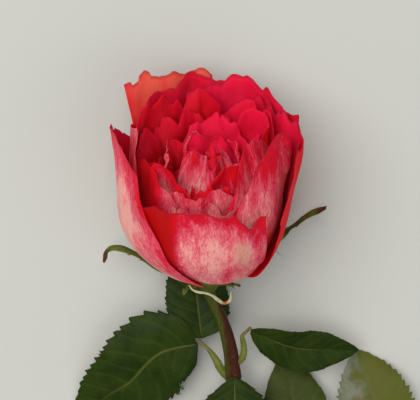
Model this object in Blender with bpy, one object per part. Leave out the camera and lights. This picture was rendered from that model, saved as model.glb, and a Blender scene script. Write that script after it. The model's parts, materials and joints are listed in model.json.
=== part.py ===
"""A cut rose, lying on a surface.

The bloom is a cup of overlapping petals on a green receptacle with five sepals. The stem runs back from it
along +Y's opposite direction and carries compound leaves. Every petal, sepal, leaflet and leaf stalk is its own
closed solid. Shapes are worked out in millimetres and scaled to metres when a mesh is made.

Frame: +Z up, the surface at z = 0, +Y from the cut end of the stem towards the bloom.
"""

import math

import bpy
import numpy as np
from mathutils.bvhtree import BVHTree

# ---------------------------------------------------------------- driving dimensions, in millimetres and degrees
MM = 0.001
BLOOM_BELLY_R = 32.5  # radius of the outermost petals at their widest
BLOOM_TOP = 58.0  # height of the outer petals above the receptacle
CORE_R = 3.4  # radius of the innermost rolled petal
CORE_TOP = 46.5
PETALS = 36
PETAL_T = 0.36  # petal thickness
PETAL_GAP = 0.78  # distance kept between the middles of neighbouring petals
BLOOM_TILT = 22.0  # bloom axis above the surface
BASE_H = 22.8  # height of the bloom's base over the surface
BASE_Y = 0.0  # position of the base of the bloom along the stem, before the shift
STEM_R = 2.65
LEAF_T = 0.42
GOLDEN = 137.508
ORIGIN_SHIFT = (-25.52, 86.73, -0.29)  # brings the middle of the bottom of the bounding box over the origin
NU, NV = 17, 13  # control grid of a petal, across and along


# ---------------------------------------------------------------- curves and grids
def smooth(a, b, x):
    t = np.clip((x - a) / (b - a), 0.0, 1.0)
    return t * t * (3.0 - 2.0 * t)


def curve(points, n):
    """n points evenly spaced along a smooth curve through the given points."""
    p = np.asarray(points, float)
    ext = np.vstack([2 * p[0] - p[1], p, 2 * p[-1] - p[-2]])
    t = np.linspace(0, 1, 24, endpoint=False)[:, None]
    out = []
    for i in range(1, len(ext) - 2):
        a, b, c, d = ext[i - 1 : i + 3]
        out.append(0.5 * (2 * b + (c - a) * t + (2 * a - 5 * b + 4 * c - d) * t**2 + (3 * b - a - 3 * c + d) * t**3))
    out = np.vstack(out + [p[-1:]])
    run = np.r_[0, np.cumsum(np.sqrt((np.diff(out, axis=0) ** 2).sum(1)))]
    q = np.linspace(0, run[-1], n)
    return np.stack([np.interp(q, run, out[:, k]) for k in range(out.shape[1])], 1)


def unit(a):
    return a / np.maximum(np.sqrt((a * a).sum(-1, keepdims=True)), 1e-12)


def grid_normals(g):
    """Normals of grids (..., rows, columns, 3), on the side away from the flower's axis."""
    dv = np.gradient(g, axis=-3)
    du = np.gradient(g, axis=-2)
    return unit(np.cross(du, dv))


# ---------------------------------------------------------------- petals
# the outer petals, innermost first: bearing round the bloom (0 = the side that faces up), belly and rim radius, height,
# half width, how far the rim falls away towards the sides, roll of the rim at the middle, left and right (negative leans in),
# flare of the left and right sides, fullness of the lower half
OUTER = [
    dict(key="front_third", phi=-8, rb=21.0, rt=18.0, top=40.0, w=19, drop=0.14, roll=-6, roll_l=0, roll_r=4, full=0.35),
    dict(key="right_third", phi=64, rb=21.5, rt=19, top=52.5, w=20, drop=0.34, roll=-8, roll_l=-4, roll_r=6, full=0.35),
    dict(key="back_inner", pleat=1.0, pleats=5.2, notch=0.09, notch_s=0.0, phi=-150, rb=22.5, rt=22.5, top=58, w=18, drop=0.12, roll=2, roll_l=6, roll_r=12, full=0.35),
    dict(key="back_inner_right", pleat=0.9, pleats=4.6, notch=0.08, notch_s=-0.5, phi=134, rb=23.0, rt=23.5, top=53.5, w=19, drop=0.14, roll=8, roll_l=14, roll_r=6, full=0.35),
    dict(key="left_second", phi=-66, rb=24.5, rt=21.5, top=42.5, w=24, drop=0.24, roll=-10, roll_l=10, roll_r=-6, full=0.4),
    dict(key="front_second", phi=-4, rb=25.5, rt=23.0, top=35.5, w=21, drop=0.08, roll=-8, roll_l=0, roll_r=0, full=0.4),
    dict(key="right_second", phi=70, rb=26.0, rt=24.5, top=53.0, w=26, drop=0.36, roll=-8, roll_l=4, roll_r=4, full=0.5, wave=1.0, twist=0.0),
    dict(key="back_right", pleat=0.7, pleats=5.6, notch=0.06, notch_s=0.0, phi=122, rb=27.0, rt=28.0, top=54.0, w=20, drop=0.12, roll=8, roll_l=10, roll_r=8, full=0.35),
    dict(key="left_tucked", phi=-104, rb=26.5, rt=25.5, top=52, w=15, drop=0.20, roll=-8, roll_l=-8, roll_r=-8, full=0.35),
    dict(key="back_far_right", pleat=0.8, pleats=5.0, phi=160, rb=27.5, rt=28, top=58.5, w=20, drop=0.10, roll=2, roll_l=6, roll_r=6, full=0.35),
    dict(key="back", pleat=0.8, pleats=4.4, notch=0.05, notch_s=0.5, phi=-170, rb=28.0, rt=28, top=59.0, w=20, drop=0.10, roll=4, roll_l=8, roll_r=4, full=0.35),
    dict(key="back_left", phi=-153, rb=28.4, rt=29.8, top=61.0, w=15, drop=0.02, roll=6, roll_l=6, roll_r=28, side_r=0.6, full=0.35),
    dict(key="left_behind", phi=-108, rb=27.6, rt=28.2, top=50.0, w=11, drop=0.14, roll=16, roll_l=22, roll_r=0, full=0.35),
    dict(key="front", phi=-5, rb=29.6, rt=29.2, top=40.5, w=24.8, drop=0.10, roll=14, roll_l=4, roll_r=0, full=0.8, notch=0.13, notch_s=0.72),
    dict(key="right", phi=107, rb=28.4, rt=29.6, top=52.5, w=25, drop=0.17, roll=6, roll_l=2, roll_r=1, side_l=0.6, low_l=1.4, full=0.5),
    dict(key="left", phi=-76, rb=31.4, rt=28.0, top=50.5, w=31.5, drop=0.20, roll=4, roll_l=16, roll_r=0, full=0.66, twist=-20, notch=0.0),
]


def crown(f, th):
    """Height of the rims over the receptacle: low and hollow towards the front, high at the back."""
    k = (0, 0.2, 0.4, 0.6, 0.8, 1)
    mean, amp = np.interp(f, k, (46.5, 45.5, 46.8, 48.6, 49.6, 50)), np.interp(f, k, (-1.0, -2.2, 3.4, 7.8, 9.5, 11.5))
    return mean - amp * np.cos(th)


def petal_table():
    """One dict of dimensions for each petal, innermost first."""
    rng, cuts = np.random.RandomState(11), np.random.RandomState(29)
    table = []
    inner = PETALS - len(OUTER)
    for j in range(PETALS):
        f = min(j / (inner - 1), 1.0) * 0.56
        phi = (j * GOLDEN + 40) % 360
        rb = CORE_R + (BLOOM_BELLY_R - CORE_R) * f**0.88
        top = float(crown(f, math.radians(phi))) + rng.uniform(-1.6, 1.6)
        back = 0.5 - 0.5 * math.cos(math.radians(phi))
        bud = 1.0 - float(smooth(0.20, 0.38, f))  # 1 for the petals that close over the middle
        top -= 5.0 * bud * max(1 - j / 8, 0)
        p = dict(
            name=f"petal_{j + 1:02d}",
            phi=phi,
            rb=rb,
            top=top,
            rt=rb * (0.50 + 0.42 * smooth(0, 0.5, f)) * (1 - 0.65 * bud * (1 - back)) + rng.uniform(-0.8, 0.8) * f,
            w=(9.5 + 15.0 * f + rng.uniform(-1, 1)) * (1 + 0.3 * bud),
            drop=rng.uniform(0.12, 0.26),
            t0=0.74,
            roll=(rng.uniform(-16, 8) + 20 * back) * smooth(0.05, 0.3, f),
            roll_l=(rng.uniform(-14, 20) + 16 * back) * smooth(0.05, 0.3, f),
            roll_r=(rng.uniform(-14, 20) + 16 * back) * smooth(0.05, 0.3, f),
            side_l=rng.uniform(-1.0, 2.0) * f,
            side_r=rng.uniform(-1.0, 2.0) * f,
            low_l=0.0,
            notch=cuts.uniform(0.0, 0.13) * float(smooth(0.1, 0.3, f)),
            notch_s=cuts.choice((-0.5, 0.0, 0.5)),
            full=0.35,
            tilt=0.55,
            pleat=rng.uniform(0.9, 2.2) * (0.45 + f),
            pleats=rng.uniform(3.0, 6.0),
            q=0.0,
            twist=rng.uniform(-6, 6),
            cusp=rng.uniform(0.0, 0.03),
            seed=int(rng.randint(1, 10000)),
            wave=0.7 + 0.8 * f + 0.7 * bud,
        )
        if j >= inner:
            f = 0.64 + 0.36 * (j - inner) / (len(OUTER) - 1)
            p.update(tilt=0.0, pleat=0.25, wave=0.9, side_l=0.0, side_r=0.0, full=0.55, notch=0.0)
            p.update(OUTER[j - inner])
        p.update(f=f)
        table.append(p)
    return table


def family():
    """Nested cup profiles: r and z by belly radius (rows) and by run along the profile from 0 to 1 (columns)."""
    top, rows = 62.0, []
    for rho in RHO:
        f = (rho - CORE_R) / (BLOOM_BELLY_R - CORE_R)
        f = f ** (1 / 0.88) if f > 0 else f
        r0, z0 = max(0.8 + 5.4 * f, 0.3), 4.2 - 4.2 * max(f, 0)
        h = top - z0
        lean = 0.60 + 0.40 * smooth(3.0, 23.0, rho)
        rows.append(
            curve([(r0, z0), (r0 + (rho - r0) * 0.48, z0 + h * 0.080), (r0 + (rho - r0) * 0.88, z0 + h * 0.26), (r0 + (rho - r0) * 1.0, z0 + h * 0.54), (rho * lean, top)], len(RUN))
        )
    return np.array(rows)


RHO, RUN = np.linspace(0.4, 44.4, 89), np.linspace(0, 1, 121)
FAMILY = family()
ALONG = unit(np.gradient(FAMILY, axis=1))
ACROSS = np.gradient(FAMILY, RHO, axis=0)
SPREAD = np.abs(ACROSS[..., 0] * ALONG[..., 1] - ACROSS[..., 1] * ALONG[..., 0])  # mm of clearance for each mm of belly radius


def look(table, rho, t):
    """Bilinear reading of a table over belly radius and run."""
    i = np.clip((rho - RHO[0]) / (RHO[1] - RHO[0]), 0, len(RHO) - 1.001)
    j = np.clip(t * (len(RUN) - 1), 0, len(RUN) - 1.001)
    i0, j0 = i.astype(int), j.astype(int)
    a, b = i - i0, j - j0
    if table.ndim == 3:
        a, b = a[..., None], b[..., None]
    return (table[i0, j0] * (1 - a) + table[i0 + 1, j0] * a) * (1 - b) + (table[i0, j0 + 1] * (1 - a) + table[i0 + 1, j0 + 1] * a) * b


def petal_nest(p, s, v):
    """Bearing (radians), run and belly radius over a petal before packing; s runs across from -1 to 1, v up from 0 to 1."""
    s, v = np.asarray(s, float), np.asarray(v, float)
    S, V = s[None, :], v[:, None]
    heights = look(FAMILY, np.full(len(RUN), p["rb"]), RUN)[:, 1]
    phi = math.radians(p["phi"])
    reach = p["w"] / p["rb"]
    rim = p["top"] + p["tilt"] * (crown(p["f"], phi + reach * S) - float(crown(p["f"], phi)))
    end = np.interp(rim, heights, RUN) * (1.0 - p["drop"] * np.abs(S) ** 2.6 + p["cusp"] * np.exp(-((S / 0.16) ** 2)) - p["notch"] * np.exp(-(((S - p["notch_s"]) / 0.15) ** 2)))
    rng = np.random.RandomState(p["seed"])
    ruf, ph = rng.uniform(4, 8), rng.uniform(0, 6.28)
    end = np.minimum(end + p["wave"] * 0.010 * np.sin(ruf * 1.3 * S + ph * 2), 1.0)
    t = V * end
    rc = look(FAMILY, np.full_like(t, p["rb"]), t)[..., 0]
    low = p["full"]
    width = p["w"] * np.interp(v, [0, 0.12, 0.25, 0.5, 0.72, 1.0], [0.10, 0.26 + 0.26 * low, 0.40 + 0.52 * low, 0.90 + 0.09 * low, 1.0, 0.94])[:, None]
    beta = np.clip(width * S / np.maximum(rc, 2.2), -2.6, 2.6)
    th = phi + beta + math.radians(p["twist"]) * V
    roll = p["roll"] * (1 - S**2) + np.where(S < 0, p["roll_l"], p["roll_r"]) * S**2
    lip = smooth(0, 1, np.clip((V - 0.66) / 0.34, 0, 1) * 0.5) * 2
    rho = p["rb"] + 11.0 * np.radians(roll) * lip + (p["rt"] - p["rb"]) * smooth(0.5, 1.0, V)
    edge = np.maximum(np.abs(S) - 0.55, 0) / 0.45
    rho = rho + np.where(S < 0, p["side_l"], p["side_r"]) * edge**2 * V
    rho = rho + np.where(S < 0, p["low_l"], 0.0) * edge**1.4 * smooth(0.02, 0.25, V) * (1 - smooth(0.45, 0.85, V))
    for _ in range(3):
        a1, a2 = rng.uniform(2.4, 7.2, 2)
        rho = rho + 0.35 * p["wave"] * rng.uniform(-1, 1) * np.sin(a1 * S + rng.uniform(0, 6.28)) * np.sin(a2 * V + rng.uniform(0, 6.28)) * smooth(0.15, 0.6, V)
    rho = rho + p["pleat"] * np.cos(p["pleats"] * S + ph) * smooth(0.3, 0.95, V)
    rho = rho + p["wave"] * 0.4 * np.sin(ruf * S + ph) * smooth(0.6, 1, V)
    return th, t, np.maximum(rho, 1.0)


def finer(g, rows, cols):
    """A grid read at more rows and columns, linearly."""
    a, b = np.linspace(0, g.shape[0] - 1, rows), np.linspace(0, g.shape[1] - 1, cols)
    i, j = np.minimum(a.astype(int), g.shape[0] - 2), np.minimum(b.astype(int), g.shape[1] - 2)
    a, b = (a - i)[:, None], (b - j)[None, :]
    q = lambda di, dj: g[np.ix_(i + di, j + dj)]
    return (q(0, 0) * (1 - b) + q(0, 1) * b) * (1 - a) + (q(1, 0) * (1 - b) + q(1, 1) * b) * a


def widest(e, across, along):
    """Largest value in a window round each cell; the first axis wraps round the bloom."""
    out = e
    for k in range(-across, across + 1):
        out = np.maximum(out, np.roll(e, k, 0))
    e, rows = out, out.shape[1]
    for k in range(1, along + 1):
        out[:, k:] = np.maximum(out[:, k:], e[:, : rows - k])
        out[:, : rows - k] = np.maximum(out[:, : rows - k], e[:, k:])
    return out


def pack_petals(table, s, v, gap, extra):
    """Control grids of all petals, each one lying outside those before it, as petals of a bud do."""
    bins, runs = 240, 140
    taken = np.full((bins, runs), 0.0)
    grids = []
    for k, p in enumerate(table):
        th, t, rho = petal_nest(p, s, v)
        room = widest(taken.copy(), 2, 3)
        ii = np.floor(th / (2 * np.pi) * bins).astype(int) % bins
        jj = np.minimum((t * runs).astype(int), runs - 1)
        near = room[ii, jj]
        spread = np.clip(look(SPREAD, np.maximum(rho, near), t), 0.16, 1.0)
        clear = gap * (0.50 + 0.50 * smooth(0.0, 0.22, t))
        need = np.where(near > 0, near + clear / spread, 0.0)
        lift = np.maximum(need - rho, 0.0) + extra[k] / spread
        soft = lift
        for _ in range(2):
            e = np.pad(soft, 1, mode="edge")
            soft = np.maximum(lift, (e[:-2, 1:-1] + e[2:, 1:-1] + e[1:-1, :-2] + e[1:-1, 2:] + 2 * soft) / 6)
        rho = rho + soft
        p["nest"] = rho
        T, R, H = finer(th, 121, 145), finer(rho, 121, 145), finer(t, 121, 145)
        ii = np.floor(T / (2 * np.pi) * bins).astype(int) % bins
        jj = np.minimum((H * runs).astype(int), runs - 1)
        np.maximum.at(taken, (ii.ravel(), jj.ravel()), R.ravel())
        rz = look(FAMILY, rho, t)
        grids.append(np.stack([rz[..., 0] * np.sin(th), -rz[..., 0] * np.cos(th), rz[..., 1]], -1))
    return np.array(grids)


def coarse(g):
    """Every second row and column of a control grid: the grid of the solid."""
    return g[::2, ::2]


def settle_petals(table, gap, spare, rounds):
    """Packs the petals, then eases any that still touch a petal inside them further out, until none does."""
    s, v = np.linspace(-1, 1, NU), np.linspace(0, 1, NV)
    extra = np.zeros((len(table), NV, NU))
    cells = coarse(np.zeros((NV, NU))).size
    for _ in range(rounds):
        grids = pack_petals(table, s, v, gap, extra)
        trees = []
        for g in grids:
            verts, faces = shell(coarse(g), PETAL_T + spare)
            trees.append(BVHTree.FromPolygons([tuple(p) for p in verts], faces))
            spots = faces
        touching = False
        for j in range(len(table)):
            for i in range(j):
                hits = trees[j].overlap(trees[i])
                if not hits:
                    continue
                touching = True
                for who, side, step in ((j, 0, 0.20), (i, 1, -0.08)):
                    bump = np.zeros((NV, NU))
                    for face in {h[side] for h in hits}:
                        for k in spots[face]:
                            r, c = divmod(k % cells, (NU + 1) // 2)
                            bump[max(2 * r - 1, 0) : 2 * r + 2, max(2 * c - 1, 0) : 2 * c + 2] = step
                    extra[who] = np.clip(extra[who] + bump, -0.4, 1.6)
        if not touching:
            break
    return grids


def bloom_to_world(g):
    a = math.radians(BLOOM_TILT)
    x, y, z = g[..., 0], g[..., 1], g[..., 2]
    w = np.stack([x, BASE_Y + z * math.cos(a) + y * math.sin(a), BASE_H + z * math.sin(a) - y * math.cos(a)], -1)
    return w + np.array(ORIGIN_SHIFT)


# ---------------------------------------------------------------- blades: sepals and leaflets
LEAF_SHAPE = ([0, 0.05, 0.16, 0.32, 0.48, 0.68, 0.84, 0.95, 1.0], [0.04, 0.30, 0.70, 0.96, 1.0, 0.86, 0.56, 0.24, 0.03])
BROAD_SHAPE = ([0, 0.03, 0.10, 0.22, 0.40, 0.60, 0.80, 0.93, 1.0], [0.05, 0.45, 0.76, 0.97, 1.0, 0.90, 0.60, 0.26, 0.03])
SEPAL_SHAPE = ([0, 0.08, 0.3, 0.55, 0.8, 0.92, 1.0], [0.75, 1.0, 0.80, 0.45, 0.34, 0.30, 0.06])


def blade(b, s, v):
    """Middle surface of a leaf-like blade along the path b["path"]; s runs across, v along."""
    n = 200
    c = curve(b["path"], n)
    t = unit(np.gradient(c, axis=0))
    up = np.asarray(b.get("up", (0, 0, 1)), float)
    side = unit(np.cross(t, up))
    top = np.cross(side, t)
    k = np.linspace(0, 1, n)
    roll = np.radians(np.interp(k, [0, 1], b.get("roll", (0, 0))))[:, None]
    side, top = side * np.cos(roll) + top * np.sin(roll), top * np.cos(roll) - side * np.sin(roll)
    at = lambda a: np.stack([np.interp(v, k, a[:, i]) for i in range(3)], 1)[:, None, :]
    C, SD, TP = at(c), at(side), at(top)
    half = 0.5 * b["width"] * np.interp(v, *b.get("shape", LEAF_SHAPE))[:, None]
    S = np.asarray(s, float)[None, :]
    f = math.radians(b.get("fold", 12))
    x = half * S * math.cos(f)
    z = half * np.abs(S) * math.sin(f) - b.get("curl", 0.012) * (half * S) ** 2
    z = z + b.get("wave", 0.5) * np.sin(v[:, None] * b.get("freq", 11) + S * 1.7 + b.get("phase", 0)) * S**2
    return C + SD * x[..., None] + TP * z[..., None]


def rest_on_surface(g, low=0.1):
    """Bends a blade up where it would sink into the surface, as a leaf that lies on a table does."""
    z = g[..., 2]
    soft = 0.5
    lifted = low + soft * np.logaddexp(0, (z - low) / soft)
    g = g.copy()
    g[..., 2] = np.where(z < low + 4 * soft, lifted, z)
    return g


# paths are relative to the bloom's base, in millimetres, with heights over the surface
STEM_PATH = [
    (0.0, -8.95, BASE_H - 3.62), (0.45, -10.6, BASE_H - 4.30), (1.8, -13.8, BASE_H - 5.6), (4.0, -18.4, BASE_H - 7.1), (6.5, -25.4, 15.2), (8.1, -33.0, 13.3), (8.6, -37.8, 12.2),
    (9.2, -44.0, 10.9), (12.5, -70, 7.2), (17, -105, 4.4), (22, -150, 3.35), (27, -200, 3.0), (31.0, -240, 2.95),
]
NODES_Y = (-41.5, -95.0, -135.0)  # where the leaves leave the stem
LEAVES = {
    "leaf_left_upper_stalk": dict(tube=[(4.4, -39.3, 12.4), (3.0, -36.6, 12.2), (0.4, -33.1, 11.1), (-2.3, -30.9, 9.8)], r=(1.3, 1.2, 0.8, 0.7), flat=1.4),
    "leaf_left_upper_leaflet_side": dict(path=[(-2.3, -28.9, 9.4), (-4.0, -15, 7.0), (-6.4, 6, 0.3)], width=24, shape=BROAD_SHAPE, fold=9, roll=(-4, 0)),
    "leaf_left_upper_leaflet_end": dict(path=[(-3.9, -31.1, 9.5), (-15.7, -33.7, 9.6), (-22, -38.4, 8.8), (-28.5, -45.9, 7.0), (-36.5, -51.5, 4.6), (-50, -61.5, 0.3)], width=35, fold=7, roll=(6, 0), wave=0.9, shape=BROAD_SHAPE),
    "leaf_right_upper_stalk": dict(tube=[(12.6, -34.6, 13.7), (12.8, -30.6, 14.0), (12.3, -27.0, 14.6), (14.2, -24.9, 15.0)], r=(1.1, 1.0, 0.8, 0.7), flat=1.2),
    "leaf_right_upper_leaflet": dict(path=[(15.4, -25.0, 15.2), (23.5, -28.6, 15.2), (32.2, -31.6, 13.8), (45, -33.0, 10.6), (54.5, -33.7, 8.0)], width=20, fold=16, roll=(-32, -18), wave=0.7),
    "leaf_front_leaflet": dict(path=[(9.4, -42.2, 14.9), (9.6, -52, 15.6), (8.8, -68, 14.0), (7.5, -84, 10.0)], width=30, fold=6, curl=0.02, wave=0.6),
    "leaf_right_lower_stalk": dict(tube=[(20.2, -94.6, 5.6), (34, -88, 6.0), (52, -80, 5.6), (70, -74.4, 4.8)], r=(1.5, 0.9, 0.8, 0.7), flat=1.3),
    "leaf_right_lower_leaflet_a": dict(path=[(34.3, -86.4, 6.6), (32.8, -62, 8.0), (28, -37, 0.3)], width=27, fold=6, roll=(0, 6)),
    "leaf_right_lower_leaflet_b": dict(path=[(66.6, -73.8, 5.8), (61.5, -55, 6.4), (54.5, -35.5, 0.3)], width=30, fold=10, roll=(4, -6), wave=0.8),
    "leaf_right_lower_leaflet_end": dict(path=[(71.3, -74.1, 4.8), (88, -76.5, 5.4), (108, -74, 0.3)], width=26, fold=8),
    "leaf_right_lower_leaflet_c": dict(path=[(50.6, -82.6, 5.8), (60, -98, 5.4), (69, -116, 0.3)], width=23, fold=8),
    "leaf_left_lower_stalk": dict(tube=[(17.0, -135.4, 4.4), (2, -134, 5.2), (-14, -128.2, 5.3)], r=(1.5, 0.9, 0.7), flat=1.3),
    "leaf_left_lower_leaflet_end": dict(path=[(-15.4, -127.7, 5.3), (-34, -121, 6.4), (-57, -118, 0.3)], width=28, fold=8),
    "leaf_left_lower_leaflet_a": dict(path=[(1.4, -131.6, 6.2), (-3.0, -114, 7.0), (-6, -95, 0.3)], width=22, fold=8),
    "leaf_left_lower_leaflet_b": dict(path=[(-0.4, -136.0, 6.2), (-6, -151, 5.4), (-12, -168, 0.3)], width=22, fold=8),
}
# sepals: paths in the bloom's frame
SEPALS = {
    "sepal_left": dict(path=[(-6.2, 0.6, -2.9), (-13, 3.6, -3.6), (-22, 8.6, -2.0), (-31, 10.4, 1.2), (-35.8, 9.8, 0.8), (-37.4, 9.0, -4.0)], width=7.0),
    "sepal_right": dict(path=[(5.6, 3.4, -3.1), (14, 10, -5.0), (26, 19.0, 1.2), (31.5, 19.2, 6.2), (36, 18.6, 10.6), (40.5, 17.6, 13.1)], width=5.6),
    "sepal_front_right": dict(path=[(4.9, -3.9, -3.3), (7.4, -5.0, -3.9), (9.6, -5.4, -4.1), (11.4, -5.0, -4.9)], width=4.6),
    "sepal_front_left": dict(path=[(-4.4, -4.6, -3.4), (-6.6, -6.6, -4.2), (-8.2, -7.6, -5.4), (-8.8, -8.2, -7.0)], width=5.0),
    "sepal_under": dict(path=[(-0.6, 6.4, -2.9), (-1.6, 12.4, -4.0), (-2.6, 18.5, -3.6), (-3.4, 24.0, -1.4)], width=6.5),
}
FILAMENT = [(-6.5, -5.4, 30.4), (-4.6, -7.4, 30.2), (0.7, -9.0, 28.4), (5.2, -13.0, 23.6), (7.6, -12.2, 23.4), (8.0, -8.4, 26.6)]


# ---------------------------------------------------------------- meshes
def material(name, colour, roughness):
    m = bpy.data.materials.get(name)
    if m is None:
        m = bpy.data.materials.new(name)
        m.use_nodes = True
        b = m.node_tree.nodes["Principled BSDF"]
        b.inputs["Base Color"].default_value = (*colour, 1)
        b.inputs["Roughness"].default_value = roughness
        b.inputs["Metallic"].default_value = 0.0
        m.diffuse_color = (*colour, 1)
    return m


def add_object(name, verts, faces, mat, parent=None):
    v = np.asarray(verts, float)
    vol = 0.0
    for f in faces:
        for k in range(1, len(f) - 1):
            vol += np.dot(v[f[0]], np.cross(v[f[k]], v[f[k + 1]]))
    if vol < 0:
        faces = [tuple(reversed(f)) for f in faces]
    me = bpy.data.meshes.new(name)
    me.from_pydata([tuple(p) for p in v * MM], [], faces)
    me.update()
    me.shade_smooth()
    me.set_sharp_from_angle(angle=math.radians(50))
    o = bpy.data.objects.new(name, me)
    bpy.context.scene.collection.objects.link(o)
    me.materials.append(mat)
    if parent:
        o.parent = parent
    return o


def shell(mid, t):
    """Vertices and faces of a thin closed solid around a grid of points."""
    nv, nu = mid.shape[:2]
    n = grid_normals(mid)
    a, b = (mid + n * t / 2).reshape(-1, 3), (mid - n * t / 2).reshape(-1, 3)
    idx = np.arange(nv * nu).reshape(nv, nu)
    off = nv * nu
    faces = []
    for i in range(nv - 1):
        for j in range(nu - 1):
            a0, b0, c0, d0 = (int(idx[k]) for k in ((i, j), (i, j + 1), (i + 1, j + 1), (i + 1, j)))
            for tri in ((a0, b0, c0), (a0, c0, d0)):
                faces.append(tri)
                faces.append(tuple(k + off for k in reversed(tri)))
    ring = [*idx[0, :-1], *idx[:-1, -1], *idx[-1, :0:-1], *idx[:0:-1, 0]]
    for p, q in zip(ring, ring[1:] + ring[:1]):
        p, q = int(p), int(q)
        faces += [(q, p, p + off), (q, p + off, q + off)]
    return np.vstack([a, b]), faces


def tube(path, radii, sides, steps, flat=1.0, slant=0.0):
    """Vertices and faces of a closed tube along a smooth path; flat widens it sideways."""
    c = curve(path, steps)
    t = unit(np.gradient(c, axis=0))
    side = unit(np.cross(t, np.array([0, 0, 1.0])))
    top = np.cross(side, t)
    k = np.linspace(0, 1, steps)
    r = np.interp(k, np.linspace(0, 1, len(radii)), radii) if not callable(radii) else radii(k, c)
    w = np.linspace(0, 2 * np.pi, sides, endpoint=False)
    fl = 1 + (flat - 1) * (1 - k) ** 0.7
    v = (c[:, None, :] + side[:, None, :] * (np.cos(w)[None, :] * (r * fl)[:, None])[..., None]
         + top[:, None, :] * (np.sin(w)[None, :] * r[:, None])[..., None])
    if slant:
        v[-1] += t[-1] * (np.cos(w) * r[-1] * slant)[:, None]
    faces = []
    for i in range(steps - 1):
        for j in range(sides):
            a, b = i * sides + j, i * sides + (j + 1) % sides
            faces.append((a, b, b + sides, a + sides))
    faces.append(tuple(range(sides))[::-1])
    faces.append(tuple(range((steps - 1) * sides, steps * sides)))
    return v.reshape(-1, 3), faces


def turned(profile, sides):
    """Vertices and faces of a solid of revolution about Z from (r, z) points whose first and last are on the axis."""
    w = np.linspace(0, 2 * np.pi, sides, endpoint=False)
    verts, faces = [(0, 0, profile[0][1])], []
    for r, z in profile[1:-1]:
        verts += [(r * math.sin(a), -r * math.cos(a), z) for a in w]
    verts.append((0, 0, profile[-1][1]))
    for j in range(sides):
        k = (j + 1) % sides
        faces.append((0, 1 + j, 1 + k))
        for i in range(len(profile) - 3):
            a = 1 + i * sides
            faces.append((a + j, a + sides + j, a + sides + k, a + k))
        a = 1 + (len(profile) - 3) * sides
        faces.append((a + j, len(verts) - 1, a + k))
    return np.array(verts, float), faces


RECEPTACLE = [(0, 2.5), (2.0, 1.1), (4.0, -0.5), (5.6, -1.9), (6.0, -2.6), (5.6, -4.4), (4.5, -6.4), (3.5, -8.0), (3.1, -9.0), (0, -9.15)]


def stem_radius(k, c):
    r = STEM_R - 0.75 * smooth(-36.0, -12.0, c[:, 1] - BASE_Y)
    for y in NODES_Y:
        r = r + 0.45 * np.exp(-(((c[:, 1] - y) / 2.6) ** 2))
    r = r + 0.25 * smooth(0.06, 0.0, k)
    return r


def place(g):
    """From the bloom's base frame with heights over the surface to the world."""
    return g + np.array([0, BASE_Y, 0]) + np.array(ORIGIN_SHIFT)


def build():
    for o in list(bpy.data.objects):
        bpy.data.objects.remove(o, do_unlink=True)
    red = material("petal_red", (0.62, 0.03, 0.06), 0.5)
    green = material("leaf_green", (0.045, 0.09, 0.02), 0.45)
    light = material("sepal_green", (0.16, 0.24, 0.05), 0.5)
    brown = material("stem_skin", (0.13, 0.06, 0.03), 0.45)
    root = bpy.data.objects.new("cut_rose", None)
    bpy.context.scene.collection.objects.link(root)

    table = petal_table()
    grids = settle_petals(table, PETAL_GAP, 0.12, 30)
    for p, g in zip(table, grids):
        verts, faces = shell(bloom_to_world(coarse(g)), PETAL_T)
        add_object(p["name"], verts, faces, red, root)

    verts, faces = turned(RECEPTACLE, 14)
    add_object("receptacle", bloom_to_world(verts), faces, light, root)
    for name, b in SEPALS.items():
        b = dict(b, shape=SEPAL_SHAPE, fold=-14, wave=0.0, up=(0, 0, 1))
        mid = bloom_to_world(blade(b, np.linspace(-1, 1, 3), np.linspace(0, 1, 11)))
        mid[..., 2] = np.maximum(mid[..., 2], 0.5)
        verts, faces = shell(mid, 0.55)
        add_object(name, verts, faces, light, root)
    verts, faces = tube(FILAMENT, (0.3, 0.4, 0.4, 0.5, 0.4, 0.3), 6, 14)
    add_object("bract_filament", place(verts), faces, light, root)
    verts, faces = tube(STEM_PATH, stem_radius, 12, 56, slant=-0.7)
    add_object("stem", place(verts), faces, brown, root)
    for name, b in LEAVES.items():
        if "tube" in b:
            verts, faces = tube(b["tube"], b["r"], 8, 10, b["flat"])
            add_object(name, place(verts), faces, light, root)
        else:
            mid = rest_on_surface(blade(b, np.linspace(-1, 1, 5), np.linspace(0, 1, 10)))
            verts, faces = shell(place(mid), LEAF_T)
            add_object(name, verts, faces, green, root)


build()
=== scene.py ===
"""The looks of a cut rose: fine petals, leaves, stem, materials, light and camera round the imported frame."""

import json
import math

import bpy
import numpy as np
from mathutils import Matrix, Vector
from mathutils.bvhtree import BVHTree


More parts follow.
